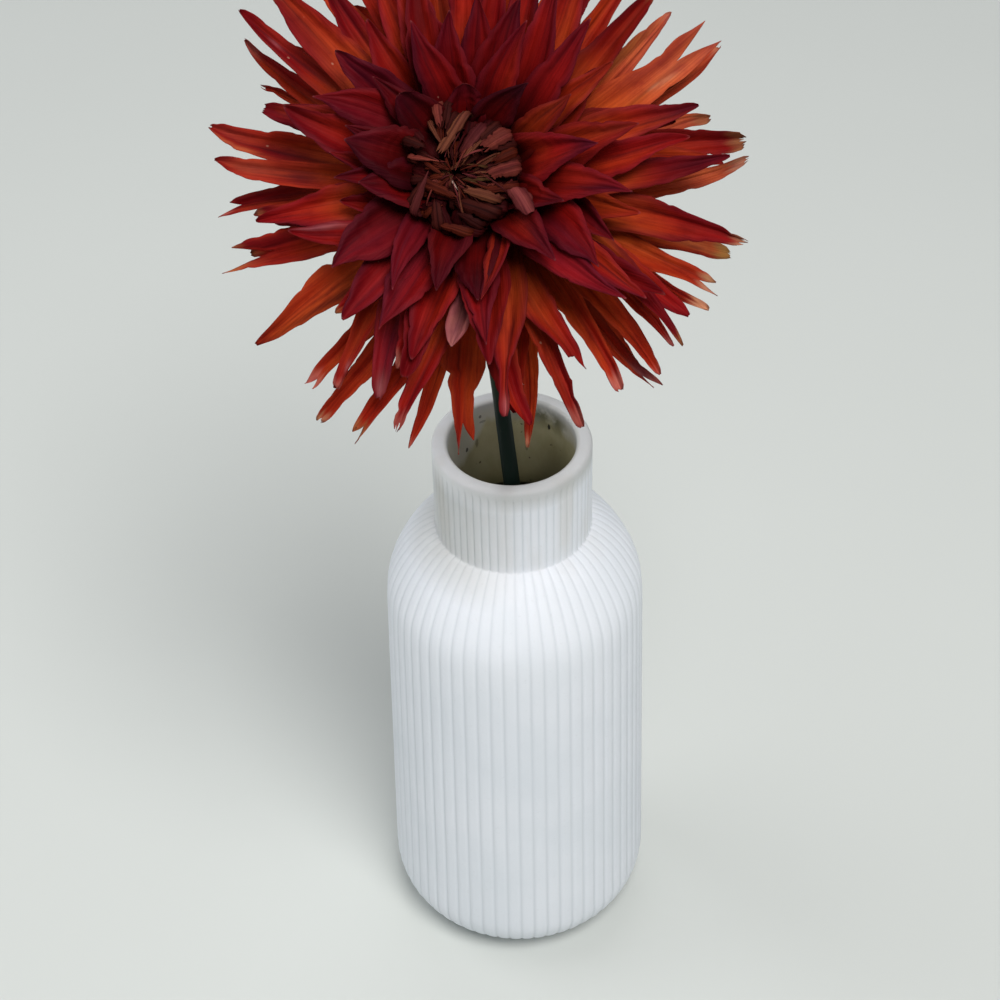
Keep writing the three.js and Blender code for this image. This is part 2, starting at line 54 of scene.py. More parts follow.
# length, base azimuth, tip azimuth, width, lift, colour class, kind of tip, its name if it has one
RAY_FLORETS = [
    [  # row 1
        (32.4, -97.6, -93.4, 9.6, 0.7, "d", "p", "R8"),
        (34.0, -42.8, -38.5, 9.1, -0.7, "r", "p", "R5"),
        (33.2, -13.0, -13.0, 9.5, 0.7, "x", "p", ""),
        (34.8, 20.7, 15.7, 12.8, -0.7, "r", "p", "R1"),
        (26.7, 97.0, 56.8, 8.5, 0.7, "d", "p", "R18"),
        (20.2, 112.1, 96.6, 7.5, -0.7, "d", "b", "R32"),
        (24.9, 130.4, 136.3, 8.0, 0.7, "d", "b", "R21"),
        (30.9, 169.3, 172.8, 11.7, 0.0, "d", "p", "R11"),
        (26.0, 208.9, 193.6, 9.1, -0.7, "d", "p", "R12"),
    ],
    [  # row 2
        (37.2, -170.0, -170.0, 8.6, -0.7, "x", "p", ""),
        (33.3, -145.9, -112.7, 5.9, 0.7, "d", "p", "R9"),
        (31.0, -71.7, -76.4, 10.1, -0.7, "d", "p", "R6"),
        (31.4, -23.5, -75.1, 6.9, 0.7, "r", "r", "R7"),
        (41.6, 5.2, -2.0, 11.7, -0.7, "r", "p", "R2"),
        (37.0, 39.0, 39.0, 8.9, 0.7, "x", "p", ""),
        (37.5, 80.0, 72.6, 8.5, -0.7, "r", "p", "R17"),
        (37.1, 106.2, 116.8, 9.1, 0.7, "d", "p", "R15"),
        (37.2, 141.0, 141.0, 9.2, -0.7, "x", "p", ""),
        (36.3, 166.0, 166.0, 9.2, 0.7, "x", "p", ""),
    ],
    [  # row 3
        (37.0, -145.0, -136.9, 9.6, 0.7, "d", "p", "R10"),
        (41.0, -108.1, -110.1, 9.1, -0.7, "r", "p", "R31"),
        (40.5, -75.0, -75.0, 8.6, 0.7, "x", "p", ""),
        (48.9, -39.4, -32.9, 8.0, -0.7, "r", "p", "R23"),
        (38.6, -8.8, -29.1, 8.5, 0.7, "d", "p", "R4"),
        (40.8, 19.0, 19.0, 9.5, -0.7, "x", "p", ""),
        (44.2, 46.1, 55.2, 9.1, 0.7, "d", "p", "R19"),
        (40.2, 79.0, 79.0, 9.9, -0.7, "x", "p", ""),
        (35.6, 107.4, 102.6, 10.1, 0.7, "d", "p", "R24"),
        (38.6, 135.7, 160.1, 8.5, 0.0, "r", "p", "R13"),
        (30.1, 192.7, 177.3, 6.9, -0.7, "r", "p", "R29"),
    ],
    [  # row 4
        (25.9, -154.1, -162.3, 8.0, -0.7, "r", "p", "R28"),
        (41.8, -122.0, -122.6, 11.7, 0.7, "r", "p", "P14"),
        (42.5, -99.0, -99.0, 8.6, -0.7, "x", "p", ""),
        (42.9, -76.0, -76.0, 9.3, 0.7, "x", "p", ""),
        (50.0, -23.0, -29.6, 7.5, -0.7, "r", "p", "R22"),
        (35.1, 7.2, -20.1, 7.5, 0.7, "d", "p", "R3"),
        (38.5, 40.0, 42.0, 6.9, -0.7, "r", "p", "R20"),
        (48.3, 60.3, 70.8, 8.5, 0.7, "r", "p", "T12"),
        (37.5, 95.9, 92.1, 9.6, -0.7, "r", "p", "R25"),
        (48.2, 124.4, 110.3, 8.5, 0.7, "r", "p", "T11"),
        (39.0, 139.2, 144.4, 10.1, -0.7, "d", "p", "R14"),
        (43.0, 171.0, 167.0, 9.6, 0.7, "x", "p", ""),
    ],
    [  # row 5
        (39.4, -134.0, -156.3, 8.0, -0.7, "r", "p", "R12b"),
        (45.7, -106.3, -99.8, 9.1, 0.7, "r", "b", "P22"),
        (35.3, -76.8, -87.9, 6.4, -0.7, "m", "b", "P24"),
        (50.9, -42.0, -26.0, 8.4, 0.7, "x", "p", ""),
        (36.4, -6.7, -8.1, 7.5, -0.7, "o", "p", "R30"),
        (48.0, 11.2, 14.7, 8.5, 0.7, "d", "p", "O47"),
        (32.7, 37.0, 45.0, 8.1, -0.7, "x", "p", ""),
        (36.3, 58.0, 71.1, 9.1, 0.7, "r", "p", "R27"),
        (44.2, 92.0, 87.8, 8.5, -0.7, "r", "p", "T14"),
        (51.1, 111.0, 115.0, 9.0, 0.7, "x", "p", ""),
        (38.7, 134.3, 130.3, 9.1, -0.7, "r", "p", "R26"),
        (38.9, 169.0, 169.0, 8.9, 0.7, "x", "p", ""),
    ],
    [  # row 6
        (46.1, -162.8, -162.6, 9.1, -0.7, "r", "p", "O9"),
        (38.3, -119.0, -127.0, 8.6, 0.7, "x", "p", ""),
        (41.5, -96.0, -104.0, 8.1, -0.7, "x", "p", ""),
        (52.0, -62.8, -74.6, 11.7, 0.7, "r", "c", "O29"),
        (59.3, -15.8, -31.8, 6.9, -0.7, "d", "p", "O37"),
        (55.4, -2.7, 9.4, 7.5, 0.7, "d", "p", "O44"),
        (49.7, 26.9, 22.1, 8.5, -0.7, "d", "p", "O49"),
        (54.8, 53.0, 69.0, 8.3, 0.7, "x", "p", ""),
        (54.5, 79.3, 80.8, 8.0, -0.7, "d", "p", "T7"),
        (52.2, 105.8, 97.4, 9.1, 0.7, "r", "p", "T5"),
        (50.5, 126.9, 121.5, 8.5, -0.7, "r", "p", "T13"),
        (46.0, 162.6, 169.0, 9.1, 0.7, "r", "p", "O5"),
    ],
    [  # row 7
        (40.7, -170.0, -162.0, 8.9, -0.7, "x", "p", ""),
        (49.5, -128.8, -106.2, 8.5, 0.7, "r", "b", "O19"),
        (55.9, -87.6, -100.5, 6.9, -0.7, "r", "b", "O20"),
        (45.6, -54.8, -52.1, 7.5, 0.7, "r", "p", "O32"),
        (54.0, -17.5, -26.8, 7.5, -0.7, "r", "b", "O38"),
        (60.7, -4.7, -6.8, 9.1, 0.7, "r", "p", "O42"),
        (41.4, 30.0, 22.0, 8.2, -0.7, "x", "p", ""),
        (55.7, 65.2, 66.0, 9.1, 0.7, "r", "p", "T9"),
        (57.1, 91.0, 91.0, 8.6, -0.7, "x", "p", ""),
        (57.0, 123.7, 114.9, 8.5, 0.7, "r", "p", "T3"),
        (66.8, 149.5, 142.6, 10.1, -0.7, "r", "p", "O1"),
        (43.7, 170.0, 166.0, 8.1, 0.7, "x", "p", ""),
    ],
    [  # row 8
        (51.3, -132.7, -117.9, 8.5, 0.7, "r", "b", "O17"),
        (47.3, -88.0, -100.0, 8.8, -0.7, "x", "p", ""),
        (56.4, -55.2, -59.1, 7.5, 0.7, "r", "b", "O31"),
        (53.7, -26.8, -32.7, 5.9, -0.7, "o", "p", "O36"),
        (56.0, -13.5, -17.6, 8.5, 0.7, "o", "s", "O40"),
        (50.7, 18.0, 10.0, 8.0, -0.7, "x", "p", ""),
        (53.6, 48.8, 52.7, 9.6, 0.7, "r", "p", "O54"),
        (56.0, 93.0, 93.0, 8.0, -0.7, "x", "p", ""),
        (57.2, 113.0, 117.0, 8.0, 0.7, "x", "p", ""),
        (58.2, 136.5, 133.4, 9.1, -0.7, "d", "p", "T1"),
        (65.5, 160.0, 150.5, 8.0, 0.7, "r", "p", "O2"),
        (58.3, 185.7, 181.5, 7.2, -0.7, "o", "p", "O7"),
    ],
    [  # row 9
        (47.2, -166.0, -166.0, 8.9, -0.7, "x", "p", ""),
        (58.5, -145.9, -138.5, 12.3, 0.7, "o", "p", "O13"),
        (60.9, -96.1, -110.8, 7.5, -0.7, "o", "s", "O18"),
        (43.6, -68.0, -76.0, 8.7, 0.7, "x", "p", ""),
        (55.2, -26.1, -39.5, 8.0, -0.7, "o", "p", "O35"),
        (55.1, 1.0, -7.0, 8.5, 0.7, "x", "p", ""),
        (58.7, 29.0, 40.0, 10.1, -0.7, "o", "S", "O51"),
        (54.9, 64.0, 68.0, 8.9, 0.7, "x", "p", ""),
        (60.0, 88.9, 92.0, 8.0, -0.7, "o", "p", "T6"),
        (62.1, 127.8, 127.3, 8.5, 0.7, "r", "p", "T2"),
        (55.4, 151.0, 151.0, 9.1, -0.7, "x", "p", ""),
        (61.5, 174.9, 174.4, 8.0, 0.7, "r", "r", "O6"),
    ],
    [  # row 10
        (60.8, -178.5, -170.8, 6.4, -0.7, "r", "s", "O8"),
        (59.2, -157.0, -159.2, 8.5, 0.7, "r", "S", "O10"),
        (55.3, -140.0, -140.0, 8.2, -0.7, "x", "p", ""),
        (61.4, -110.9, -120.0, 6.9, 0.7, "o", "s", "O16"),
        (49.8, -80.0, -72.0, 8.9, -0.7, "x", "p", ""),
        (51.0, -37.0, -48.0, 7.5, 0.7, "o", "b", "O33"),
        (54.7, -16.8, -22.1, 5.3, -0.7, "o", "b", "O39"),
        (56.1, 17.2, 15.7, 6.9, 0.7, "r", "b", "O46"),
        (53.9, 35.6, 49.6, 6.9, -0.7, "t", "p", "O52"),
        (61.0, 75.1, 77.8, 8.5, 0.7, "o", "p", "T8"),
        (63.2, 117.8, 108.4, 8.0, -0.7, "o", "p", "T4"),
        (65.4, 167.0, 154.4, 7.5, 0.7, "r", "p", "O3"),
    ],
    [  # row 11
        (53.3, -160.0, -160.0, 8.9, -0.7, "x", "p", ""),
        (57.9, -124.5, -127.9, 6.4, 0.7, "o", "s", "O15"),
        (53.8, -106.0, -122.0, 9.0, -0.7, "x", "p", ""),
        (56.3, -84.7, -88.3, 12.3, 0.7, "o", "F", "O23"),
        (45.6, -64.0, -76.0, 9.1, -0.7, "x", "p", ""),
        (56.3, -37.6, -42.8, 6.4, 0.7, "o", "s", "O34"),
        (57.2, -7.0, 12.5, 5.9, -0.7, "t", "b", "O43"),
        (59.6, 22.3, 37.0, 5.3, 0.7, "r", "b", "O50"),
        (61.0, 64.5, 63.3, 7.5, -0.7, "o", "p", "T10"),
        (53.2, 97.0, 97.0, 8.5, 0.7, "x", "p", ""),
        (75.0, 131.3, 135.3, 8.0, -0.7, "o", "p", "T15"),
        (58.5, 168.7, 159.6, 4.8, 0.7, "o", "p", "O4"),
    ],
    [  # row 12
        (53.3, -152.0, -144.0, 8.1, -0.7, "x", "p", ""),
        (58.6, -98.3, -100.5, 6.4, 0.7, "o", "p", "O21"),
        (56.0, -64.2, -74.0, 6.4, -0.7, "o", "p", "O30"),
        (49.9, -39.0, -43.0, 9.1, 0.7, "x", "p", ""),
        (56.4, -12.4, -7.7, 4.8, -0.7, "t", "p", "O41"),
        (50.4, 23.4, 26.7, 4.8, 0.7, "t", "b", "O48"),
        (47.3, 40.1, 53.4, 4.3, -0.7, "t", "p", "O53"),
        (51.9, 80.0, 80.0, 8.0, 0.7, "x", "p", ""),
        (51.8, 106.0, 106.0, 8.6, -0.7, "x", "p", ""),
        (53.4, 131.0, 131.0, 9.1, 0.7, "x", "p", ""),
        (52.1, 157.0, 157.0, 9.0, 0.0, "x", "p", ""),
    ],
]


# ------------------------------------------------------------------ colour helpers
def lin(r, g, b):
    c = np.array([r, g, b], float) / 255
    return np.where(c <= 0.04045, c / 12.92, ((c + 0.055) / 1.055) ** 2.4)


def mix(a, b, f):
    f = np.clip(np.asarray(f, float), 0, 1)[..., None]
    return a * (1 - f) + b * f


def smooth(x, a, b):
    y = np.clip((np.asarray(x, float) - a) / (b - a), 0, 1)
    return y * y * (3 - 2 * y)


BURG, RED, ORNG, AMBR = lin(82, 5, 13), lin(152, 19, 14), lin(204, 68, 26), lin(214, 114, 48)
PURP, TAN, MAUV, BACK = lin(62, 7, 24), lin(206, 148, 112), lin(186, 104, 108), lin(160, 62, 46)
PALE, ROSE = lin(184, 118, 116), lin(112, 24, 40)
BROWN = lin(82, 52, 36)


# ------------------------------------------------------------------ mesh helpers
class Build:
    """Gathers blades into one mesh with its colours and blade coordinates."""

    def __init__(self):
        self.v, self.f, self.col, self.pc, self.n = [], [], [], [], 0

    def add(self, v, faces, col, pc):
        self.v.append(v)
        self.f.extend([tuple(int(i) + self.n for i in q) for q in faces])
        self.col.append(col)
        self.pc.append(pc)
        self.n += len(v)

    def make(self, name, material, slot, *nodes):
        v, col, pc = np.concatenate(self.v), np.concatenate(self.col), np.concatenate(self.pc)
        ob = make_object(name, v, self.f, material)
        me = ob.data
        a = me.color_attributes.new("tint", "FLOAT_COLOR", "POINT")
        a.data.foreach_set("color", np.concatenate([col, np.ones((len(col), 1))], axis=1).ravel())
        b = me.attributes.new("blade", "FLOAT_VECTOR", "POINT")
        b.data.foreach_set("vector", pc.ravel())
        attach(ob, "root")
        if nodes:
            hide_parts(*nodes)
        return ob


def make_object(name, v, faces, material):
    me = bpy.data.meshes.new(name)
    me.from_pydata((v * MM).tolist(), [], faces)
    me.polygons.foreach_set("use_smooth", np.ones(len(me.polygons), bool))
    me.update()
    ob = bpy.data.objects.new(name, me)
    bpy.context.scene.collection.objects.link(ob)
    me.materials.append(material)
    return ob


def ramp(table, t):
    return np.interp(t, [p[0] for p in table], [p[1] for p in table])


# ------------------------------------------------------------------ row surfaces, as in the CAD
def row_shape(k):
    u = k / (ROWS - 1)
    beta = (36 + 69 * u) * DEG
    g0 = (27 + 71 * u) * DEG
    g1 = (80 + 33 * u ** 0.95) * DEG
    length = 40 + 22 * min(1, u * 1.9) if u < 0.6 else 62 - 4 * (u - 0.6) / 0.4
    return beta, g0, (g1 - g0) / length


def on_surface(shape, s, az, lift):
    beta, g0, bend = shape
    g = g0 + bend * s
    rho = REC_R * math.sin(beta) + (math.cos(g0) - np.cos(g)) / bend - lift * np.cos(g)
    h = REC_H * math.cos(beta) + (np.sin(g) - math.sin(g0)) / bend + lift * np.sin(g)
    return rho, h


def head_point(rho, h, az):
    return (HEAD + rho[..., None] * (np.cos(az)[..., None] * U + np.sin(az)[..., None] * V) + h[..., None] * A)


def catmull(points, n):
    """Centripetal Catmull-Rom curve through the points, evenly spaced along its length."""
    p = np.array(points, float)
    p = np.concatenate([[2 * p[0] - p[1]], p, [2 * p[-1] - p[-2]]])
    out = []
    for i in range(1, len(p) - 2):
        t = [0.0]
        for a, b in ((0, 1), (1, 2), (2, 3)):
            t.append(t[-1] + np.linalg.norm(p[i - 1 + b] - p[i - 1 + a]) ** 0.5)
        u = np.linspace(t[1], t[2], 60, endpoint=False)[:, None]
        a1 = (t[1] - u) / (t[1] - t[0]) * p[i - 1] + (u - t[0]) / (t[1] - t[0]) * p[i]
        a2 = (t[2] - u) / (t[2] - t[1]) * p[i] + (u - t[1]) / (t[2] - t[1]) * p[i + 1]
        a3 = (t[3] - u) / (t[3] - t[2]) * p[i + 1] + (u - t[2]) / (t[3] - t[2]) * p[i + 2]
        b1 = (t[2] - u) / (t[2] - t[0]) * a1 + (u - t[0]) / (t[2] - t[0]) * a2
        b2 = (t[3] - u) / (t[3] - t[1]) * a2 + (u - t[1]) / (t[3] - t[1]) * a3
        out.append((t[2] - u) / (t[2] - t[1]) * b1 + (u - t[1]) / (t[2] - t[1]) * b2)
    out = np.concatenate(out + [p[-2:-1]])
    d = np.concatenate([[0], np.cumsum(np.linalg.norm(np.diff(out, axis=0), axis=1))])
    s = np.linspace(0, d[-1], n)
    return np.stack([np.interp(s, d, out[:, i]) for i in range(3)], axis=1), s / d[-1]


# ------------------------------------------------------------------ one blade
NEAR = [(0, 0.6), (0.15, 0.88), (0.3, 1.12), (0.43, 1.22), (0.55, 1.16), (0.66, 0.97)]            # inner rows, broad and hollow
MIDDLE = [(0, 0.6), (0.15, 0.85), (0.3, 1.05), (0.45, 1.14), (0.58, 1.1), (0.7, 0.92)]
FAR = [(0, 0.75), (0.12, 0.98), (0.25, 1.16), (0.36, 1.16), (0.46, 1.03), (0.56, 0.88), (0.66, 0.75), (0.74, 0.66)]
ENDS = {  # how each kind of tip goes on from there
    "NEAR": {"p": [(0.76, 0.71), (0.86, 0.44), (0.94, 0.22), (1, 0.03)], "b": [(0.78, 0.88), (0.87, 0.76), (0.94, 0.56), (0.98, 0.34), (1, 0.1)],
             "s": [(0.78, 0.64), (0.9, 0.42), (1, 0.22)], "S": [(0.8, 0.74), (0.92, 0.62), (1, 0.5)]},
    "MIDDLE": {"p": [(0.8, 0.66), (0.88, 0.46), (0.94, 0.3), (0.98, 0.17), (1, 0.05)], "b": [(0.8, 0.74), (0.88, 0.6), (0.95, 0.42), (1, 0.14)],
               "s": [(0.8, 0.6), (0.9, 0.42), (1, 0.24)], "S": [(0.8, 0.7), (0.9, 0.6), (1, 0.5)]},
    "FAR": {"p": [(0.82, 0.55), (0.89, 0.44), (0.94, 0.34), (0.98, 0.21), (1, 0.06)], "b": [(0.82, 0.58), (0.89, 0.52), (0.95, 0.44), (0.985, 0.32), (1, 0.14)],
            "s": [(0.82, 0.58), (0.9, 0.5), (1, 0.38)], "S": [(0.82, 0.68), (0.9, 0.64), (1, 0.56)]},
}
CUPPED = [(0, 0.6), (0.15, 0.92), (0.3, 1.15), (0.45, 1.3), (0.58, 1.33), (0.7, 1.18), (0.8, 0.86), (0.88, 0.5), (0.94, 0.24), (1, 0.03)]
HEART = [(0, 0.9), (0.1, 1.15), (0.24, 1.34), (0.38, 1.22), (0.52, 0.98), (0.66, 0.72), (0.78, 0.5), (0.88, 0.29), (0.95, 0.13), (1, 0.02)]
ROUND = [(0, 0.6), (0.2, 0.95), (0.4, 1.2), (0.6, 1.32), (0.76, 1.25), (0.87, 1.0), (0.94, 0.72), (0.98, 0.45), (1, 0.15)]
BROAD = [(0, 0.75), (0.12, 0.98), (0.3, 1.12), (0.5, 1.12), (0.65, 1.05), (0.76, 0.95), (0.85, 0.82), (0.92, 0.58), (0.97, 0.3), (1, 0.05)]
BLUNT = [(0, 0.75), (0.12, 0.96), (0.3, 1.08), (0.5, 1.02), (0.65, 0.9), (0.76, 0.8), (0.86, 0.72), (0.93, 0.64), (0.97, 0.5), (1, 0.2)]
FORKED = [(0, 0.4), (0.12, 0.55), (0.3, 0.85), (0.5, 1.0), (0.6, 0.98), (0.66, 0.72), (0.72, 0.5), (0.82, 0.42), (0.92, 0.42), (1, 0.42)]
SPLITS = {"s": (0.93, (1.0, 0.975)), "S": (0.8, (1.0, 0.95)), "F": (0.8, (1.0, 0.95))}


def outline(zone, tip):
    if tip == "F":
        return FORKED
    start = {"NEAR": NEAR, "MIDDLE": MIDDLE, "FAR": FAR}[zone]
    return start + ENDS[zone]["p" if tip in "rc" else tip]


def blade(build, place, length, width, tip, rng, colour, theta=(0.5, 0.6, 1.15), pleat=0.22, twist=0.0, thick=0.38, start=-1.9, rise=0.0, wave=0.25, keel=0.3, cup=1.0, bow=0.0, nicks=1.0,
          rows=40, half=7, table=None, lop=0.3, zone="MIDDLE", split=None, ends=None, cuts=(), fray=0.0, ruffle=0.0, shade=None, hook=0.0, roll=0.0):
    """place(t, s, q, z) gives a point of the blade: t along it from 0 to 1, s the same in mm, q across it and z out of its surface."""
    tab = table or outline(zone, tip)
    usual = SPLITS.get(tip, (None, (1, 1)))
    if rng.random() < 0.5:
        usual = (usual[0], usual[1][::-1])
    split, ends = split or usual[0], ends or usual[1]
    base = 1 - (1 - np.linspace(0, 1, rows)) ** 1.35
    xs = np.concatenate([-np.linspace(1, 0, half + 1), np.linspace(0, 1, half + 1)])
    t = np.repeat(base[:, None], len(xs), axis=1)
    left = (np.arange(len(xs)) <= half)[None, :]
    if split:
        end = np.where(left, ends[0], ends[1])
        t = np.where(t > split, split + (t - split) * (end - split) / (1 - split), t)
    if fray:
        torn = 1 - fray * rng.random(len(xs))[None, :]
        torn[0, half], torn[0, half + 1] = (torn[0, half],) * 2 if not split else (1, 1)
        t = np.where(t > 0.86, 0.86 + (t - 0.86) * (torn - 0.86) / 0.14, t)
    x = np.repeat(xs[None, :], rows, axis=0)
    tt = np.clip(t, 0, 1)
    # outline, with a little life in each edge
    ph = rng.random(6) * 6.28
    amp = 0.045 + 0.04 * rng.random()
    edge = 1 + amp * (np.sin(tt * 9 + np.where(left, ph[0], ph[1])) + 0.6 * np.sin(tt * 21 + np.where(left, ph[2], ph[3]))) * smooth(tt, 0.2, 0.6)
    rough_edge = np.zeros_like(tt)
    for m in range(5):
        at, amount, sidepick = 0.5 + 0.48 * rng.random(), (0.04 + 0.09 * rng.random()) * nicks, rng.random() < 0.5
        rough_edge += amount * np.exp(-((tt - at) / 0.016) ** 2) * (left == sidepick)
    for at, on_left, amount, half_len in cuts:
        rough_edge += amount * np.exp(-np.abs((tt - at) / half_len) ** 1.5) * (left == on_left)
    edge = edge + 0.018 * nicks * np.sin(tt * 55 + np.where(left, ph[3], ph[5])) * smooth(tt, 0.3, 0.7) - rough_edge
    out = 0.5 * width * ramp(tab, tt) * edge
    gap = np.zeros_like(out)
    if split:
        f = np.clip((base - split) / (1 - split), 0, 1)[:, None]
        tooth = 0.5 * width * ramp(tab, np.array([1.0]))[0]
        point = tooth * 0.92
        gap = point * f ** 1.25
        out = np.maximum(out * (1 - f ** 3) + point * f ** 3 + 0.05, gap + 0.05)
        gap = gap * np.ones_like(out)
    q = np.sign(x) * (gap + (out - gap) * np.abs(x))
    q[:, half] = -gap[:, half]
    q[:, half + 1] = gap[:, half + 1]
    # hollow of the blade: its edges stand up, more so towards the tip
    th = ramp([(0, theta[0]), (0.5, theta[1]), (0.85, theta[1] * 0.4 + theta[2] * 0.6), (1, theta[2])], tt)
    skew = lop * (rng.random() * 2 - 1)
    th = th * (1 + np.where(left, skew, -skew))
    th = np.clip(th, 0.02, 1.45)
    w0 = np.maximum(out, 0.2)
    z = w0 * (1 - np.cos(th * np.clip(np.abs(q) / w0, 0, 1))) / np.sin(th)
    z = z - 0.35 * w0 * np.tan(th / 2)
    # fold along the middle
    fold = keel * (0.35 + 1.1 * rng.random()) * smooth(tt, 0.12, 0.55)
    crease = (rng.random() - 0.5) * 0.7
    z = z + w0 * fold * (np.sqrt((np.clip(q / w0, -1, 1) - crease * (1 - 0.6 * tt)) ** 2 + 0.004) - 0.45)
    if rng.random() < 0.45:
        z = z - 0.5 * w0 * fold * (np.sqrt((np.clip(q / w0, -1, 1) + crease + 0.35) ** 2 + 0.004) - 0.45)
    env = smooth(tt, 0.02, 0.2) * (1 - smooth(tt, 0.8, 1.0))
    z = z + pleat * env * (np.cos(3.1 * np.pi * q / w0 + (rng.random() - 0.5)) * (1 - 0.5 * (q / w0) ** 2))
    z = z + wave * smooth(tt, 0.3, 0.8) * np.sin(tt * (7 + 3 * rng.random()) + ph[4]) * (0.4 + 0.6 * np.abs(x))
    if ruffle:
        z = z + ruffle * smooth(tt, 0.25, 0.6) * np.abs(x) ** 2.5 * np.sin(tt * (15 + 6 * rng.random()) + np.where(left, ph[1], ph[5]))
    if roll:      # the edges roll back over
        z = z - roll * w0 * smooth(np.abs(x), 0.66, 1.0) ** 1.3 * smooth(tt, 0.15, 0.4) * (1 - smooth(tt, 0.9, 1.0))
    tw = twist * np.clip((tt - 0.45) / 0.55, 0, 1) ** 1.6
    q, z = q * np.cos(tw) - z * np.sin(tw), q * np.sin(tw) + z * np.cos(tw)
    z = cup * z + rise * np.clip((tt - 0.4) / 0.6, 0, 1) ** 2
    q = q + bow * np.sin(np.pi * tt) * smooth(tt, 0.0, 0.5) + hook * smooth(tt, 0.82, 1.0) ** 1.5
    s = start + (length - start) * t
    p = place(tt, s, q, z)
    nc = len(xs)
    idx = np.arange(rows * nc).reshape(rows, nc)
    weld = np.ones(rows, bool) if not split else base <= split
    idx[weld, half + 1] = idx[weld, half]
    flat = p.reshape(-1, 3)
    used, inv = np.unique(idx, return_inverse=True)
    inv = inv.reshape(idx.shape)
    vf = flat[used]
    faces = []
    for j in list(range(half)) + list(range(half + 1, nc - 1)):
        a, b = inv[:-1, j], inv[:-1, j + 1]
        c, d = inv[1:, j + 1], inv[1:, j]
        faces.append(np.stack([a, b, c, d], axis=1))
    faces = np.concatenate(faces)
    # normals of the open sheet
    n = np.zeros_like(vf)
    e1, e2 = vf[faces[:, 2]] - vf[faces[:, 0]], vf[faces[:, 3]] - vf[faces[:, 1]]
    fn = np.cross(e1, e2)
    for c in range(4):
        np.add.at(n, faces[:, c], fn)
    n /= np.maximum(np.linalg.norm(n, axis=1), 1e-12)[:, None]
    eps = place(tt[rows // 2:rows // 2 + 1, half:half + 1], s[rows // 2:rows // 2 + 1, half:half + 1], q[rows // 2:rows // 2 + 1, half:half + 1],
                z[rows // 2:rows // 2 + 1, half:half + 1] + 0.5)[0, 0] - p[rows // 2, half]
    if np.dot(n[inv[rows // 2, half]], eps) < 0:
        n, faces = -n, faces[:, ::-1]
    ax, at = np.abs(x).reshape(-1)[used], tt.reshape(-1)[used]
    half_th = 0.5 * thick * (1 - 0.6 * ax ** 4) * (1 - 0.5 * at ** 3)
    top, bot = vf + n * half_th[:, None], vf - n * half_th[:, None]
    m = len(vf)
    # rim: edges that belong to one face only
    ed = np.concatenate([faces[:, [0, 1]], faces[:, [1, 2]], faces[:, [2, 3]], faces[:, [3, 0]]])
    key = np.sort(ed, axis=1)
    _, first, count = np.unique(key[:, 0] * (m + 1) + key[:, 1], return_index=True, return_counts=True)
    rim = ed[first[count == 1]]
    rim = rim[rim[:, 0] != rim[:, 1]]
    all_faces = [tuple(f) for f in faces] + [tuple(f[::-1] + m) for f in faces] + [(b, a, a + m, b + m) for a, b in rim]
    pick = lambda g: g.reshape(-1)[used]
    qx, ss, xx = pick(q), pick(s), pick(x)
    w_rel = pick(np.clip(np.abs(q) / w0, 0, 1))
    cf = colour(pick(tt), xx, w_rel, False)
    cb = colour(pick(tt), xx, w_rel, True)
    if shade:
        d = vf - HEAD
        away = np.hypot(d @ U, d @ V)
        cf, cb = cf * shade(away), cb * shade(away)
    seed_no = rng.random() * 90
    pc = np.stack([pick(q * 1.0), ss, np.full(len(ss), seed_no)], axis=1)
    build.add(np.concatenate([top, bot]), all_faces, np.concatenate([cf, cb]), np.concatenate([pc, pc + [0, 0, 4]]))


# ------------------------------------------------------------------ materials
def nodes_of(name):
    m = bpy.data.materials.new(name)
    m.use_nodes = True
    nt = m.node_tree
    nt.nodes.clear()
    out = nt.nodes.new("ShaderNodeOutputMaterial")
    b = nt.nodes.new("ShaderNodeBsdfPrincipled")
    nt.links.new(b.outputs["BSDF"], out.inputs["Surface"])
    return m, nt, b


def node(nt, kind, **values):
    n = nt.nodes.new(kind)
    for k, v in values.items():
        if k in n.inputs:
            n.inputs[k].default_value = v
        else:
            setattr(n, k, v)
    return n


def vmul(nt, vec, scale):
    n = nt.nodes.new("ShaderNodeVectorMath")
    n.operation = "MULTIPLY"
    nt.links.new(vec, n.inputs[0])
    n.inputs[1].default_value = scale
    return n.outputs[0]


def math_node(nt, op, a, b=None, clamp=False):
    n = nt.nodes.new("ShaderNodeMath")
    n.operation = op
    n.use_clamp = clamp
    for i, v in enumerate((a, b)):
        if v is None:
            continue
        if isinstance(v, (int, float)):
            n.inputs[i].default_value = v
        else:
            nt.links.new(v, n.inputs[i])
    return n.outputs[0]


def noise(nt, vec, scale, detail=3.0, rough=0.55):
    n = nt.nodes.new("ShaderNodeTexNoise")
    n.inputs["Scale"].default_value = scale
    n.inputs["Detail"].default_value = detail
    n.inputs["Roughness"].default_value = rough
    nt.links.new(vec, n.inputs["Vector"])
    return n.outputs["Fac"]


def mix_colour(nt, fac, a, b, blend="MIX"):
    n = nt.nodes.new("ShaderNodeMix")
    n.data_type = "RGBA"
    n.blend_type = blend
    if isinstance(fac, (int, float)):
        n.inputs[0].default_value = fac
    else:
        nt.links.new(fac, n.inputs[0])
    for i, v in ((6, a), (7, b)):
        if isinstance(v, (tuple, list, np.ndarray)):
            n.inputs[i].default_value = tuple(v)[:3] + (1,)
        else:
            nt.links.new(v, n.inputs[i])
    return n.outputs[2]


def band(nt, fac, lo, hi, a=0.0, b=1.0):
    n = nt.nodes.new("ShaderNodeMapRange")
    n.inputs["From Min"].default_value = lo
    n.inputs["From Max"].default_value = hi
    n.inputs["To Min"].default_value = a
    n.inputs["To Max"].default_value = b
    nt.links.new(fac, n.inputs["Value"])
    return n.outputs[0]


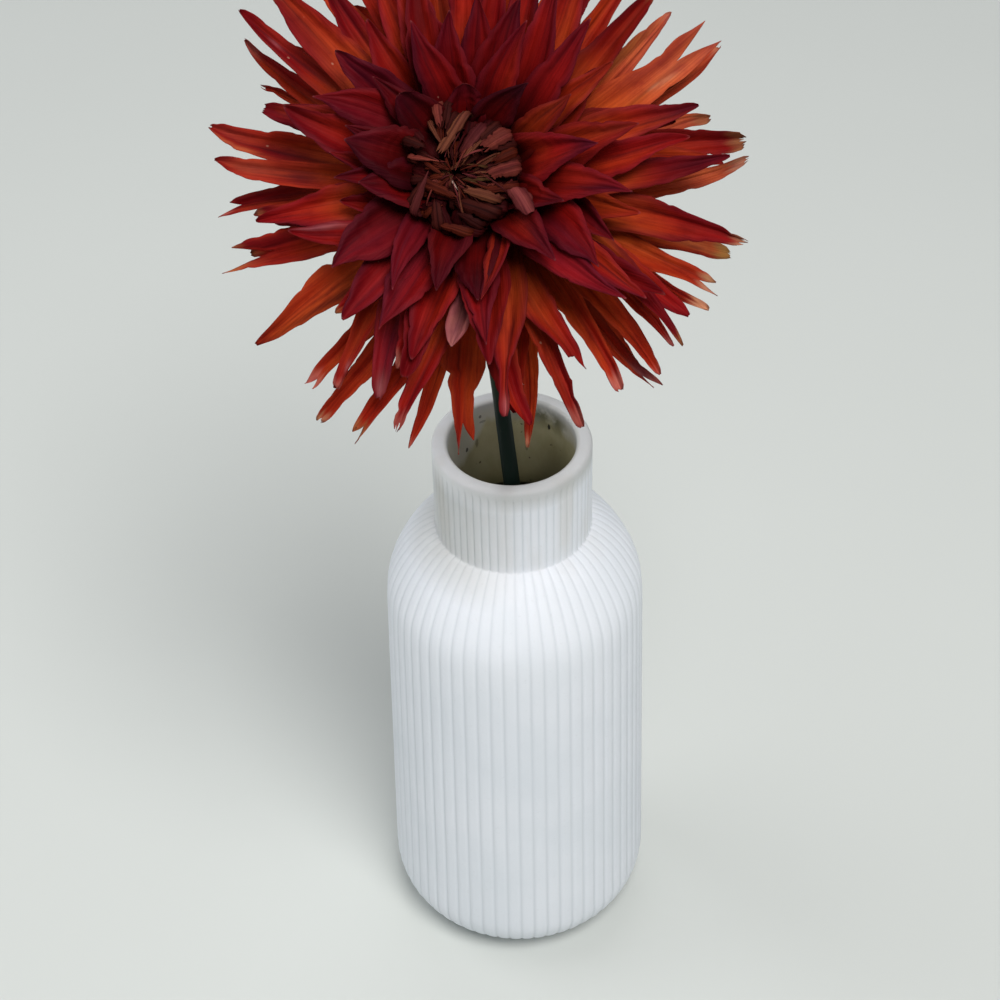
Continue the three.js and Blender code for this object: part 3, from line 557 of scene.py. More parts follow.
def bump(nt, b, height, strength, distance):
    n = nt.nodes.new("ShaderNodeBump")
    n.inputs["Strength"].default_value = strength
    n.inputs["Distance"].default_value = distance
    nt.links.new(height, n.inputs["Height"])
    nt.links.new(n.outputs[0], b.inputs["Normal"])


def petal_material(name, vein, mottling, rough, sheen):
    m, nt, b = nodes_of(name)
    tint = node(nt, "ShaderNodeAttribute", attribute_name="tint")
    pc = node(nt, "ShaderNodeAttribute", attribute_name="blade")
    fine = noise(nt, vmul(nt, pc.outputs["Vector"], (2.6, 0.05, 1.0)), 1.0, 2.5)
    broad = noise(nt, vmul(nt, pc.outputs["Vector"], (0.75, 0.035, 1.0)), 1.0, 2.0)
    blot = noise(nt, vmul(nt, pc.outputs["Vector"], (0.35, 0.12, 1.0)), 1.0, 4.0)
    grain = noise(nt, vmul(nt, pc.outputs["Vector"], (5.0, 2.2, 1.0)), 1.0, 2.0)
    c = mix_colour(nt, band(nt, fine, 0.36, 0.64, vein, 0.0), tint.outputs["Color"], (0.55, 0.42, 0.5), "MULTIPLY")
    c = mix_colour(nt, band(nt, broad, 0.5, 0.72, 0.0, vein * 0.8), c, (0.5, 0.36, 0.5), "MULTIPLY")
    c = mix_colour(nt, band(nt, blot, 0.52, 0.78, 0.0, mottling), c, (1.5, 1.9, 1.2), "MULTIPLY") if mottling else c
    c = mix_colour(nt, band(nt, blot, 0.5, 0.28, 0.0, 0.75), c, (0.62, 0.4, 0.66), "MULTIPLY")
    c = mix_colour(nt, band(nt, grain, 0.35, 0.7, 0.14, 0.0), c, (0.45, 0.45, 0.45), "MULTIPLY")
    speck = node(nt, "ShaderNodeTexVoronoi")
    speck.inputs["Scale"].default_value = 1.0
    nt.links.new(vmul(nt, pc.outputs["Vector"], (0.11, 0.07, 1.3)), speck.inputs["Vector"])
    c = mix_colour(nt, band(nt, speck.outputs["Distance"], 0.034, 0.018, 0.0, 0.55), c, (0.42, 0.22, 0.15))
    nt.links.new(c, b.inputs["Base Color"])
    nt.links.new(band(nt, fine, 0.3, 0.7, rough + 0.1, rough - 0.06), b.inputs["Roughness"])
    b.inputs["Sheen Weight"].default_value = sheen
    b.inputs["Sheen Roughness"].default_value = 0.45
    b.inputs["Sheen Tint"].default_value = (1.0, 0.55, 0.5, 1)
    b.inputs["Specular IOR Level"].default_value = 0.05
    h = math_node(nt, "ADD", math_node(nt, "MULTIPLY", fine, 0.7), math_node(nt, "MULTIPLY", broad, 1.0))
    h = math_node(nt, "ADD", h, math_node(nt, "MULTIPLY", grain, 0.18))
    bump(nt, b, h, 0.55, 0.0004)
    return m


M_IN = petal_material("petal_inner", 0.44, 0.3, 0.58, 0.0)
M_MID = petal_material("petal_middle", 0.46, 0.4, 0.58, 0.0)
M_OUT = petal_material("petal_outer", 0.5, 0.4, 0.58, 0.0)
M_EYE = petal_material("petal_eye", 0.85, 0.25, 0.65, 0.0)


# ------------------------------------------------------------------ ray florets
def petal_colour(k, kind, rng, end="tan", patches=(), light=1.0, tone=None, base=1.0):
    given = tone
    tone = {"d": 0.16, "r": 0.44, "o": 0.66, "t": 0.84, "m": 0.4}.get(kind)
    if tone is None:
        tone = 0.22 if k <= 2 else 0.4 if k <= 6 else 0.54
    tone = float(np.clip(tone + (rng.random() - 0.5) * 0.22, 0, 1))
    tone = tone if given is None else given
    core = mix(mix(BURG, RED, min(1, tone * 2)), ORNG, max(0, tone * 2 - 1))
    hot = mix(mix(BURG, RED, min(1, (tone + 0.24) * 2)), mix(ORNG, AMBR, 0.3), max(0, (tone + 0.24) * 2 - 1))
    margin = np.interp(tone, [0, 0.5, 1], [0.85, 0.55, 0.2])
    # bright: a random spread of tone times light, which is partly painted light: some florets are made brighter as if
    # lit more
    bright = (0.86 + 0.3 * rng.random()) * light
    ph = rng.random(3) * 6.28
    back = mix(core, BACK, 0.55)
    sides = 0.35 + 0.95 * rng.random(2)
    spread, amount, reach = 0.35 + 0.4 * rng.random(), 0.35 + 0.5 * rng.random(), 0.55 + 0.3 * rng.random()
    end_colour, under = {"tan": (TAN, BROWN), "brown": (lin(150, 96, 60), lin(70, 44, 30)), "pink": (lin(188, 112, 98), lin(110, 48, 44)), "green": (lin(128, 112, 60), lin(84, 72, 40)),
                         "plain": (mix(core, PURP, 0.4), BURG)}[end]
    depth = (0.55 + 0.4 * rng.random()) * (0.75 if end == "pink" else 1)
    glow = (0.25 + 0.4 * rng.random()) * base
    fold_shades = [(rng.random() * 1.3 - 0.65, 0.05 + 0.08 * rng.random(), 0.25 + 0.35 * rng.random(), 0.45 + 0.3 * rng.random()) for _ in range(1 + int(2.6 * rng.random()))]
    # pale rims along the edges of each floret: painted highlight
    rim_highlight, rim_highlight_amount = (lin(120, 32, 44), 0.06 + 0.3 * rng.random()) if k <= 6 else (hot * 1.25, 0.4 * rng.random())

    def colour(t, x, w, is_back):
        lean = 0.55 * np.sin(ph[0])
        c = mix(np.broadcast_to(core, t.shape + (3,)), hot, amount * np.exp(-((x - lean) / spread) ** 2) * smooth(t, 0.1, 0.35) * (1 - smooth(t, reach, reach + 0.3)))
        c = mix(c, PURP, margin * np.where(x < 0, sides[0], sides[1]) * np.clip(np.abs(x - lean * 0.3), 0, 1) ** 2.6)
        if k <= 4:
            c = mix(c, PURP, (0.65 - 0.08 * k) * smooth(t, 0.6, 0.95))
            # partly painted shade, partly their own darker colour: the bases of the inner florets go near black where
            # they run down into the head
            c = mix(c, BURG * 0.35, 0.85 * (1 - smooth(t, 0.15, 0.6)))
            c = mix(c, MAUV * 0.6, 0.3 * smooth(t, 0.98, 1.0))
        else:
            c = mix(c, mix(ORNG, AMBR, 0.6), glow * (1 - smooth(t, 0.3, 0.72)) * (1 - 0.5 * np.abs(x) ** 3))
            c = mix(c, PURP, 0.3 * margin * smooth(t, 0.6, 0.9))
            edge = 0.93 + 0.03 * math.sin(ph[2]) + 0.015 * np.sin(x * 7 + ph[0])
            c = mix(c, end_colour, depth * smooth(t, edge - 0.03, edge + 0.045))
            c = mix(c, under, 0.65 * smooth(t + 0.02 * np.abs(x), 0.985, 1.005))
        if kind == "m":
            c = mix(c, PALE * (0.8 + 0.2 * np.sin(x * 9 + ph[1]))[..., None], 0.8 * smooth(t, 0.42, 0.6) * (1 - 0.6 * np.abs(x) ** 3))
        if kind == "t":
            c = mix(c, TAN, 0.18 * smooth(t, 0.4, 0.8))
        if is_back:
            c = mix(c, back, 0.75)
        for across, wide, amt, near in fold_shades:      # creases along the blade, darkened with painted shade
            c = mix(c, PURP * 0.5, amt * np.exp(-((x - across * (1 - 0.5 * t)) / wide) ** 2) * smooth(t, near - 0.2, near) * (1 - smooth(t, 0.85, 1.0)))
        for at, across, along, wide, col, amt in patches:
            c = mix(c, col, amt * np.exp(-((t - at) / along) ** 2 - ((x - across) / wide) ** 2))
        c = mix(c, rim_highlight, rim_highlight_amount * smooth(np.abs(x), 0.6, 0.92) * smooth(t, 0.25, 0.4) * (1 - smooth(t, 0.8, 0.95)))
        return c * bright

    return colour


def eye_shade_and_tone(away):
    """The florets get darker towards the eye: painted shade of the deep centre, partly also their own darker colour."""
    return (0.4 + 0.6 * smooth(away, 10, 42))[:, None] * np.array([1.0, 0.8, 0.9]) ** (1 - smooth(away, 9, 40))[:, None]


# florets with a shape or a mark of their own; some of these marks and light values are painted light or shade, as noted
SINGLE = {
    "O1": dict(light=0.88, patches=[(0.75, 0.5, 0.3, 0.5, PURP, 0.5)]),
    "O2": dict(bow=-1.2, twist=0.5, end="plain", patches=[(0.8, 0.1, 0.03, 0.2, MAUV, 0.4), (0.6, -0.4, 0.25, 0.5, PURP, 0.5)]),
    "O4": dict(cuts=[(0.9, False, 0.5, 0.03), (0.83, True, 0.4, 0.02)], fray=0.06, end="plain"),
    "O5": dict(table=[(0, 0.6), (0.3, 1.05), (0.5, 1.1), (0.7, 0.92), (0.85, 0.62), (0.95, 0.42), (1, 0.22)], fray=0.015, kind="r", end="plain", width=1.0, hook=-0.8, patches=[(0.8, 0.0, 0.35, 1.2, PURP, 0.5)]),
    "O6": dict(table=BROAD, hook=-1.5, end="plain", bow=0.6, width=0.94, tone=0.46, light=1.3, twist=0.1, patches=[(0.84, 0.85, 0.1, 0.22, lin(196, 104, 60), 0.8), (0.9, -0.3, 0.13, 0.6, lin(140, 50, 40), 0.7), (0.62, 0.3, 0.16, 0.6, PURP, 0.6)]),
    "O7": dict(table=BROAD, light=1.1, tone=0.46, width=0.92, hook=-1.4, bow=0.2, end="plain", patches=[(0.82, -0.2, 0.16, 0.9, lin(150, 64, 44), 0.7), (0.58, 0.2, 0.12, 0.8, PURP, 0.75), (0.3, 0.2, 0.15, 0.8, ORNG, 0.5)]),
    "O8": dict(tip="s", split=0.88, ends=(0.93, 1.0), end="pink", width=1.3, kind="r", fray=0.02, light=1.35, patches=[(0.7, 0.0, 0.2, 1.0, PURP, 0.4)]),
    "O10": dict(tip="S", table=[(0, 0.75), (0.15, 1), (0.35, 1.15), (0.55, 1.1), (0.7, 0.95), (0.8, 0.86), (0.9, 0.8), (1, 0.72)], split=0.75, ends=(0.94, 1.0), end="brown", width=1.15, cuts=[(0.8, True, 0.18, 0.04)], patches=[(0.93, 0.6, 0.1, 0.5, lin(176, 84, 54), 0.7)]),
    # O13's dark patch along one side is painted shadow under its fold
    "O13": dict(table=[(0, 0.75), (0.15, 1.0), (0.35, 1.04), (0.5, 0.86), (0.65, 0.66), (0.8, 0.44), (0.92, 0.24), (1, 0.07)], tone=0.76, light=0.84, patches=[(0.5, 0.75, 0.5, 0.35, BURG * 0.5, 0.9)], cuts=[(0.3, True, 0.35, 0.03), (0.36, True, 0.25, 0.012), (0.52, True, 0.3, 0.02), (0.7, False, 0.12, 0.05)], end="plain", bow=1.5, width=1.15),
    "O15": dict(tip="s", split=0.94, ends=(1.0, 0.985), end="pink", width=1.25),
    "O16": dict(tip="b", end="tan", width=1.15, fray=0.03),
    "O17": dict(end="pink", patches=[(0.88, 0.3, 0.03, 0.4, PALE, 0.5)], width=1.0),
    "O18": dict(tip="s", split=0.92, ends=(0.96, 1.0), end="brown", fray=0.03),
    "O19": dict(kind="d", light=1.1, patches=[(0.95, 0.2, 0.07, 0.6, PALE, 0.5), (0.7, 0.0, 0.3, 0.9, ROSE, 0.5)], end="plain"),
    "O20": dict(end="pink", fray=0.05, cuts=[(0.9, True, 0.3, 0.02)]),
    "O23": dict(tip="F", split=0.86, ends=(1.0, 0.94), end="plain", cuts=[(0.64, True, 0.35, 0.015)]),
    "P24": dict(width=1.05, table=[(0, 0.4), (0.4, 0.55), (0.6, 0.85), (0.75, 1.0), (0.88, 0.8), (0.96, 0.4), (1, 0.05)], bow=0.0, twist=0.1),
    "O29": dict(tip="b", width=1.3, table=[(0, 0.6), (0.2, 0.9), (0.4, 1.0), (0.55, 0.84), (0.68, 0.38), (0.78, 0.16), (0.86, 0.145), (0.93, 0.2), (0.97, 0.18), (1, 0.08)], end="plain",
                patches=[(0.95, 0.2, 0.05, 0.6, MAUV, 0.5)], twist=0.2),
    "O31": dict(tip="b", end="pink", cuts=[(0.86, False, 0.4, 0.03), (0.8, False, -0.35, 0.012)], width=0.95),
    "O32": dict(tip="s", split=0.9, ends=(0.9, 1.0), end="plain"),
    "O34": dict(tip="s", split=0.9, ends=(0.98, 1.0), end="pink", patches=[(0.9, 0.2, 0.06, 0.6, PALE, 0.7)]),
    "O37": dict(end="brown", twist=-0.9, bow=1.0),
    "O39": dict(end="tan"), "O40": dict(tone=0.72, tip="s", split=0.9, ends=(1.0, 0.97), end="tan"), "O41": dict(table=BLUNT, width=1.7, tone=0.6, kind="o", end="green", fray=0.02, patches=[(0.8, 0.2, 0.25, 0.8, lin(150, 92, 50), 0.6)]),
    "T4": dict(tone=0.5, light=0.85), "T6": dict(tone=0.52, light=0.85), "T8": dict(light=0.88), "T5": dict(tone=0.3), "T11": dict(tone=0.32), "T12": dict(tone=0.28), "T14": dict(tone=0.3), "O52": dict(tone=0.86, light=0.82, width=1.3, patches=[(0.6, 0.6, 0.35, 0.45, lin(150, 84, 44), 0.7)]), "O53": dict(tone=0.84, light=0.9), "O30": dict(tone=0.74),
    "O42": dict(end="tan", light=0.92, fray=0.05, cuts=[(0.92, False, 0.4, 0.02)]), "O43": dict(table=BLUNT, width=0.92, light=0.85, end="tan", fray=0.03), "O44": dict(kind="r", end="plain", twist=0.5, patches=[(0.9, 0.0, 0.25, 1.2, PURP, 0.7)]),
    "O49": dict(tone=0.56, end="plain", hook=0.8, patches=[(0.95, 0.0, 0.22, 1.3, PURP * 1.1, 0.85), (0.36, 0.1, 0.22, 0.9, ORNG, 0.75)]),
    "O46": dict(table=BLUNT, width=1.35, end="brown", fray=0.04), "O48": dict(end="brown", table=BLUNT, width=1.1, light=0.9), "O9": dict(tone=0.42, light=1.0), "O50": dict(end="tan", tone=0.74, light=1.12, table=BLUNT, width=0.95, fray=0.02, patches=[(0.75, 0.3, 0.3, 1.2, lin(150, 74, 44), 0.6)]),
    "O51": dict(kind="t", tone=0.8, light=0.9, tip="S", split=0.8, ends=(1.0, 0.985), end="plain", width=1.28, patches=[(0.78, 0.75, 0.22, 0.4, lin(146, 42, 36), 0.7), (0.72, -0.5, 0.05, 0.15, TAN, 0.5), (0.66, -0.3, 0.03, 0.1, TAN, 0.5)]),
    # R1, R2 and R5 are made brighter through light: painted light on them
    "R1": dict(table=HEART, light=1.36, hook=-0.6, patches=[(0.5, 0.3, 0.1, 0.5, lin(170, 52, 20), 0.5), (0.95, 0.0, 0.13, 1.5, PURP * 0.8, 0.85), (0.75, -0.8, 0.2, 0.35, PURP, 0.6)]),
    "R2": dict(table=HEART, tone=0.32, light=1.08, hook=-0.8, patches=[(0.82, -0.35, 0.16, 0.5, PURP * 0.9, 0.8)]), "R5": dict(light=1.04, tone=0.32, patches=[(0.7, 0.35, 0.22, 0.4, PURP, 0.7)]),
    "R3": dict(tone=0.28, light=0.96, table=CUPPED, patches=[(0.85, 0.2, 0.2, 0.8, PURP, 0.5)]), "R4": dict(tone=0.26, light=0.98, table=CUPPED, patches=[(0.6, -0.3, 0.25, 0.3, ROSE, 0.5)]), "R23": dict(kind="d", light=1.25, patches=[(0.55, -0.2, 0.2, 0.5, ROSE, 0.5)]), "O47": dict(kind="r"),
    "R11": dict(table=CUPPED, width=1.02, patches=[(0.85, -0.5, 0.2, 0.5, ROSE, 0.5), (0.35, 0.2, 0.25, 0.7, BURG * 0.4, 0.8)]), "R12": dict(table=CUPPED, width=1.12, patches=[(0.8, 0.6, 0.2, 0.4, ROSE, 0.5)]),
    "R10": dict(table=CUPPED, width=1.12, light=1.1, patches=[(0.6, 0.3, 0.3, 0.6, ROSE, 0.5), (0.5, -0.9, 0.4, 0.5, BURG * 0.5, 0.7)]), "R9": dict(light=1.4, width=1.15, patches=[(0.5, 0.0, 0.3, 0.8, ROSE, 0.5)]),
    "R13": dict(table=CUPPED, kind="d", light=1.12, patches=[(0.6, 0.3, 0.3, 0.6, ROSE, 0.4)]), "R6": dict(table=CUPPED, light=0.85), "R31": dict(table=CUPPED, tone=0.26, light=1.1, patches=[(0.5, -0.2, 0.3, 0.5, ROSE, 0.5)]), "P14": dict(tone=0.3, light=1.02, patches=[(0.6, 0.2, 0.3, 0.5, ROSE, 0.4)]), "R28": dict(light=0.9), "P22": dict(light=0.92), "R8": dict(light=0.8, patches=[(0.6, 0.5, 0.25, 0.4, ROSE, 0.5)]),
    "R18": dict(table=CUPPED, width=0.9, patches=[(0.92, 0.0, 0.16, 1.5, PURP * 0.7, 0.85)]), "R21": dict(table=ROUND, width=1.1), "R32": dict(table=ROUND, width=1.1), "R14": dict(patches=[(0.75, 0.0, 0.3, 1.2, PURP, 0.65)]), "R20": dict(kind="o"),
    "R27": dict(kind="d", light=1.15), "R17": dict(tone=0.32, light=1.1), "R25": dict(tone=0.3, light=1.1),
    # R12b's pale mauve streak is a painted highlight along a ridge
    "R12b": dict(patches=[(0.8, -0.7, 0.15, 0.15, MAUV, 0.7)]),
}

for k, row in enumerate(RAY_FLORETS):
    shape = row_shape(k)
    build = Build()
    for j, (length, pb, pt, width, off, kind, tip, ident) in enumerate(row):
        rng = np.random.default_rng(1000 * k + j + 17)
        own = dict(SINGLE.get(ident, {}))
        kind = own.pop("kind", kind)
        if kind == "x" and k > 0 and 14 < pb < 62:
            kind = "o"
        if kind == "x" and k > 6 and 66 < pb < 118:
            kind = "r"
        if not ident and k < 2:
            length, width = length * 0.82, width * 0.82

        def place(t, s, q, z, shape=shape, pb=pb, pt=pt, off=off):
            az = (pb + (pt - pb) * t ** 0.8) * DEG
            rho0, _ = on_surface(shape, s, az, off * t)
            rho, h = on_surface(shape, s, az, off * t + z)
            return head_point(rho, h, az + q / np.maximum(3, rho0))

        r = rng.random(4) * 2 - 1
        outer = k / 11
        tip = own.pop("tip", tip)
        zone = "NEAR" if k < 3 else "MIDDLE" if k < 7 else "FAR"
        theta = (0.35, 0.6 + 0.15 * r[0] + 0.25 * (k > 6), 1.1 + 0.25 * r[1])
        if k < 3:
            theta = ((0.85, 1.05, 0.8), (0.45, 0.85, 1.0), (0.35, 0.75, 1.0))[k]
        if tip == "r":
            theta = (0.5, 1.0, 1.4)
        if tip in "SF":
            theta = (0.35, 0.5, 0.6)
        rise = (0.8 + 2.2 * outer) * r[2]
        twist = (0.3 + 0.6 * outer) * r[3]
        bow = (1.0 + 1.2 * outer) * (rng.random() * 2 - 1)
        hook = (0.4 + 1.1 * outer) * (rng.random() * 2 - 1)
        keel = 0.16 if k < 3 else 0.36
        if tip == "c":
            twist, rise = 1.6, 1.0
        factor = ((1.04 if k < 3 else 1.02 if k < 7 else 1.0) if ident else (1.1 if k < 3 else 1.2 if k < 7 else 1.12)) * own.pop("width", 1.0)
        end = own.pop("end", ("tan", "brown", "pink", "plain", "tan", "plain")[int(rng.random() * 6)] if k > 4 else "plain")
        colour = petal_colour(k, kind, rng, end, own.pop("patches", ()), own.pop("light", 1.0), own.pop("tone", None),
                              0.35 if k > 3 and 60 < pb < 118 else 1.0)
        own = {**dict(theta=theta, twist=twist, rise=rise, bow=bow, hook=hook, keel=keel, fray=0.0 if tip == "p" else 0.025 * rng.random(), wave=0.3 + 0.25 * (k > 2), ruffle=0.4 if 2 < k < 9 else 0.25,
                  roll=0.32 if k < 3 else 0.15 if k < 7 else 0.08, half=9 if k < 4 else 7), **own}
        blade(build, place, length, width * factor, tip, rng, colour, zone=zone, rows=48 if k < 5 else 56, shade=eye_shade_and_tone, **own)
    mat, slot = (M_IN, "inner_florets") if k < 4 else (M_MID, "middle_florets") if k < 8 else (M_OUT, "outer_florets")
    build.make("rays_%02d" % (k + 1), mat, slot, "ray_florets_row_%02d" % (k + 1))


# ------------------------------------------------------------------ eye: young folded florets
def arc_place(shape, az0, az1, push=0.0):
    def place(t, s, q, z):
        az = (az0 + (az1 - az0) * t) * DEG
        rho0, _ = on_surface(shape, s, az, 0 * t)
        rho, h = on_surface(shape, s, az, z + push)
        return head_point(rho, h, az + q / np.maximum(2.5, rho0))
    return place


EYE_TAB = [(0, 0.55), (0.3, 0.75), (0.5, 0.95), (0.65, 1.0), (0.8, 0.92), (0.92, 0.66), (1, 0.16)]
EYE_RAGGED = [(0, 0.55), (0.3, 0.75), (0.5, 0.95), (0.65, 1.0), (0.85, 0.95), (0.95, 0.8), (1, 0.5)]
EYE_SHARP = [(0, 0.55), (0.3, 0.8), (0.5, 1.0), (0.65, 0.9), (0.8, 0.66), (0.92, 0.34), (1, 0.04)]
# K, the near black tint, is painted shade: it colours the florets that fill the gaps deep in the eye
EYE_TINTS = {
    "T": (lin(118, 68, 46), lin(62, 26, 18)), "M": (lin(92, 38, 36), lin(50, 12, 13)), "R": (lin(120, 54, 44), lin(64, 18, 16)),
    "B": (lin(88, 32, 17), lin(48, 10, 7)), "D": (lin(62, 20, 15), lin(36, 7, 7)), "P": (lin(122, 56, 54), lin(84, 28, 28)),
    "O": (lin(82, 56, 30), lin(50, 24, 15)), "W": (lin(214, 192, 176), lin(140, 100, 84)), "K": (lin(62, 10, 12), lin(40, 4, 7)),
}


def eye_colour(code, rng):
    a, b = EYE_TINTS[code]
    bright = 0.9 + 0.2 * rng.random()
    streak = rng.random() * 1.2 - 0.6

    def colour(t, x, w, is_back):
        # darker towards the root and along the edges: painted shade of the crevices between the florets
        c = mix(np.broadcast_to(b * 0.5, t.shape + (3,)), b, smooth(t, 0.1, 0.35))
        c = mix(c, a, smooth(t, 0.3, 0.62) * (1 - 0.5 * np.exp(-((x - streak) / 0.22) ** 2)))
        c = mix(c, b * 0.6, 0.5 * np.exp(-((x + 0.6 * streak - 0.3) / 0.1) ** 2) * smooth(t, 0.4, 0.6))
        c = mix(c, b * 0.6, 0.8 * np.abs(x) ** 4)
        c = mix(c, a * 1.2, 0.5 * smooth(t, 0.95, 1.0))
        return c * bright
    return colour


def spine_place(points, bend, roll):
    """A blade that follows a free curve in the head's own frame (right, up, out)."""
    cen, _ = catmull(points, 120)
    tan = np.gradient(cen, axis=0)
    tan /= np.linalg.norm(tan, axis=1)[:, None]
    tt = np.linspace(0, 1, 120)
    rad = np.stack([cen[:, 0], cen[:, 1], np.zeros(120)], axis=1)
    rad = rad[40] / max(1e-6, np.linalg.norm(rad[40]))
    f = smooth(tt, bend - 0.2, bend + 0.15)[:, None]
    n = (1 - f) * (0.9 * rad - 0.3 * np.array([0, 0, 1.0])) + f * (np.array([0, 0, 1.0]) + 0.2 * rad)
    n = n - tan * (n * tan).sum(1)[:, None]
    n /= np.linalg.norm(n, axis=1)[:, None]
    side = np.cross(tan, n)
    a = roll * smooth(tt, 0.3, 0.9)[:, None]
    n, side = n * np.cos(a) + side * np.sin(a), side * np.cos(a) - n * np.sin(a)

    def at(arr, t):
        return np.stack([np.interp(t, tt, arr[:, i]) for i in range(3)], axis=-1)

    def place(t, s, q, z):
        p = at(cen, t) + at(side, t) * q[..., None] + at(n, t) * z[..., None]
        return HEAD + p[..., 0:1] * U + p[..., 1:2] * V + p[..., 2:3] * A
    return place


# where each floret bends over and where its tip lies, in mm right and up of the head's middle; height, width, tint, tip
EYE_FLORETS = [
    (-1.8, 15.0, -8.2, 3.2, 1.6, 3.1, "T", "r"), (2.7, 12.6, -2.6, 3.5, 0.6, 5.0, "M", "b"), (9.6, 10.9, 4.2, 6.6, 1.2, 5.6, "R", "r"),
    (11.8, 6.7, 7.3, 2.9, 0.4, 3.8, "B", "b"), (13.4, 2.6, 6.3, -1.5, 1.5, 5.0, "R", "r"), (13.4, -2.0, 5.5, -5.2, 0.5, 3.6, "B", "b"),
    (9.4, -6.2, -0.6, -5.3, 1.3, 3.7, "T", "b"), (9.0, -10.2, -2.4, -9.0, 0.7, 5.6, "D", "b"), (3.0, -15.4, -5.8, -16.2, 0.6, 2.9, "B", "b"),
    (-5.0, -15.0, -7.4, -8.5, 0.9, 4.3, "D", "b"), (-12.2, -12.0, -10.0, -1.3, 1.0, 3.6, "M", "p"), (-10.6, -4.0, -0.6, -8.4, 1.8, 3.2, "B", "b"),
    (-15.3, 2.4, -7.6, 2.0, 0.8, 1.9, "R", "p"), (-17.0, 6.6, -11.4, 5.3, 0.2, 4.1, "D", "b"), (-9.4, 16.3, -7.8, 10.7, 0.6, 3.2, "R", "b"),
    (-11.0, 11.8, -6.8, 6.2, 0.8, 2.1, "T", "p"), (-4.6, 14.7, -6.9, 6.9, 0.4, 2.4, "D", "p"), (6.5, 13.2, 1.0, 7.0, -0.6, 4.2, "D", "b"),
    (-14.0, -3.0, -8.5, -3.4, -0.3, 3.4, "D", "p"), (5.5, -13.2, -1.0, -12.2, 0.2, 3.6, "D", "b"), (-9.5, -11.5, -5.0, -10.4, 0.3, 3.2, "B", "p"),
]
EYE_CORE = [
    (7.4, 3.0, -0.5, -2.7, -0.6, 3.0, "M", "p"), (4.4, 0.4, -1.6, -4.6, -1.4, 2.4, "D", "p"), (-1.0, 3.4, -5.2, -0.3, -0.4, 2.2, "T", "p"),
    (-7.1, 1.6, -3.3, -5.0, -0.7, 3.0, "O", "b"), (-4.5, -1.6, -1.0, -5.4, -0.1, 0.9, "W", "p"), (-9.0, 0.4, -6.7, -4.8, -1.0, 2.4, "O", "b"),
    (9.2, -2.4, 4.4, -4.1, -0.6, 2.1, "R", "b"), (1.5, 5.5, -2.0, 1.0, -1.6, 3.2, "D", "p"), (5.0, -3.0, 1.0, -2.6, -2.0, 3.0, "D", "p"),
]


def eye_floret(build, rng, spec, low=22.0, root=7.0, root_h=10.4):
    x0, y0, x1, y1, lift, width, code, tip = spec
    width = width * (0.8 if width > 3.4 and code != "K" else 0.95)
    reach = 0.12 if width > 1.2 else 0.0
    x1, y1 = x1 + reach * (-3.5 - x1), y1 + reach * (0.5 - y1)
    rho0 = math.hypot(x0, y0)
    h0 = low + lift + max(0, rho0 - 14) * 0.55
    d = np.array([x0, y0]) / max(rho0, 1e-6)
    mid = 0.5 * (np.array([x0, y0]) + np.array([x1, y1]))
    pts = [(*(d * min(root, rho0 * 0.7)), root_h), (*(d * (0.55 * rho0 + 0.45 * root)), 0.5 * (root_h + h0) - 0.6), (x0, y0, h0),
           (mid[0], mid[1], h0 + 1.7), (x1, y1, h0 + 1.3)]
    bend = 0.55
    tab = EYE_RAGGED if tip == "r" else EYE_SHARP if tip == "p" else EYE_TAB
    blade(build, spine_place(pts, bend, 0.5 * (rng.random() - 0.5)), 22, width, "p", rng, eye_colour(code, rng), theta=(0.4, 0.7, 0.5), cup=-1.0,
          twist=0, rise=0, wave=0.3, pleat=0.2, keel=0.25, table=tab, start=0, rows=34, half=5, nicks=3.6, thick=0.3, fray=0.0 if tip == "p" else 0.1)


build = Build()
for j, spec in enumerate(EYE_FLORETS):
    rng = np.random.default_rng(500 + j)
    eye_floret(build, rng, spec, low=20.0)
    # a second, shorter one half under it, in a darker tint: painted shade under the first
    x0, y0, x1, y1, lift, width, code, tip = spec
    turn = 0.16 * (1 if rng.random() < 0.5 else -1)
    ca, sa = math.cos(turn), math.sin(turn)
    lower = (ca * x0 - sa * y0, sa * x0 + ca * y0, 0.8 * x1 + 0.2 * x0 + 1.2 * (rng.random() - 0.5), 0.8 * y1 + 0.2 * y0 + 1.2 * (rng.random() - 0.5), lift - 2.0,
             0.7 * width + 0.5, {"T": "B", "M": "D", "R": "D", "B": "K", "D": "K", "P": "M", "O": "D", "W": "O"}[code], "r")
    eye_floret(build, rng, lower, low=20.0)
# the one that has come loose and points outwards
rng = np.random.default_rng(560)
blade(build, spine_place([(7.2, -1.2, 12.0), (10.6, -2.0, 17.5), (12.8, -2.9, 21.2), (15.4, -5.6, 24.0), (18.2, -9.4, 25.2)], 0.5, 0.1), 22, 4.7, "p", rng,
      eye_colour("P", rng), theta=(0.4, 0.3, 0.3), cup=-1.0, wave=0.2, pleat=0.14, table=EYE_RAGGED, start=0, rows=30, half=5, nicks=1.5)
# darker ones below, which close the gaps: near black, painted shade in the crevices
for j in range(13):
    rng = np.random.default_rng(580 + j)
    az = (j * 360 / 13 + 9 + 8 * rng.random()) * DEG
    ro, ri, turn = 13.2 + 1.6 * rng.random(), 7.5 + 2.0 * rng.random(), (rng.random() - 0.5) * 0.5
    eye_floret(build, rng, (ro * math.cos(az), ro * math.sin(az), ri * math.cos(az + turn), ri * math.sin(az + turn), -2.2, 5.6, "K", "b"), low=20.0, root=7.4, root_h=10.0)
build.make("eye_outer", M_EYE, "eye", "centre_florets_row_1")
build = Build()
for j, spec in enumerate(EYE_CORE):
    eye_floret(build, np.random.default_rng(620 + j), spec, low=19.6, root=4.6, root_h=10.8)
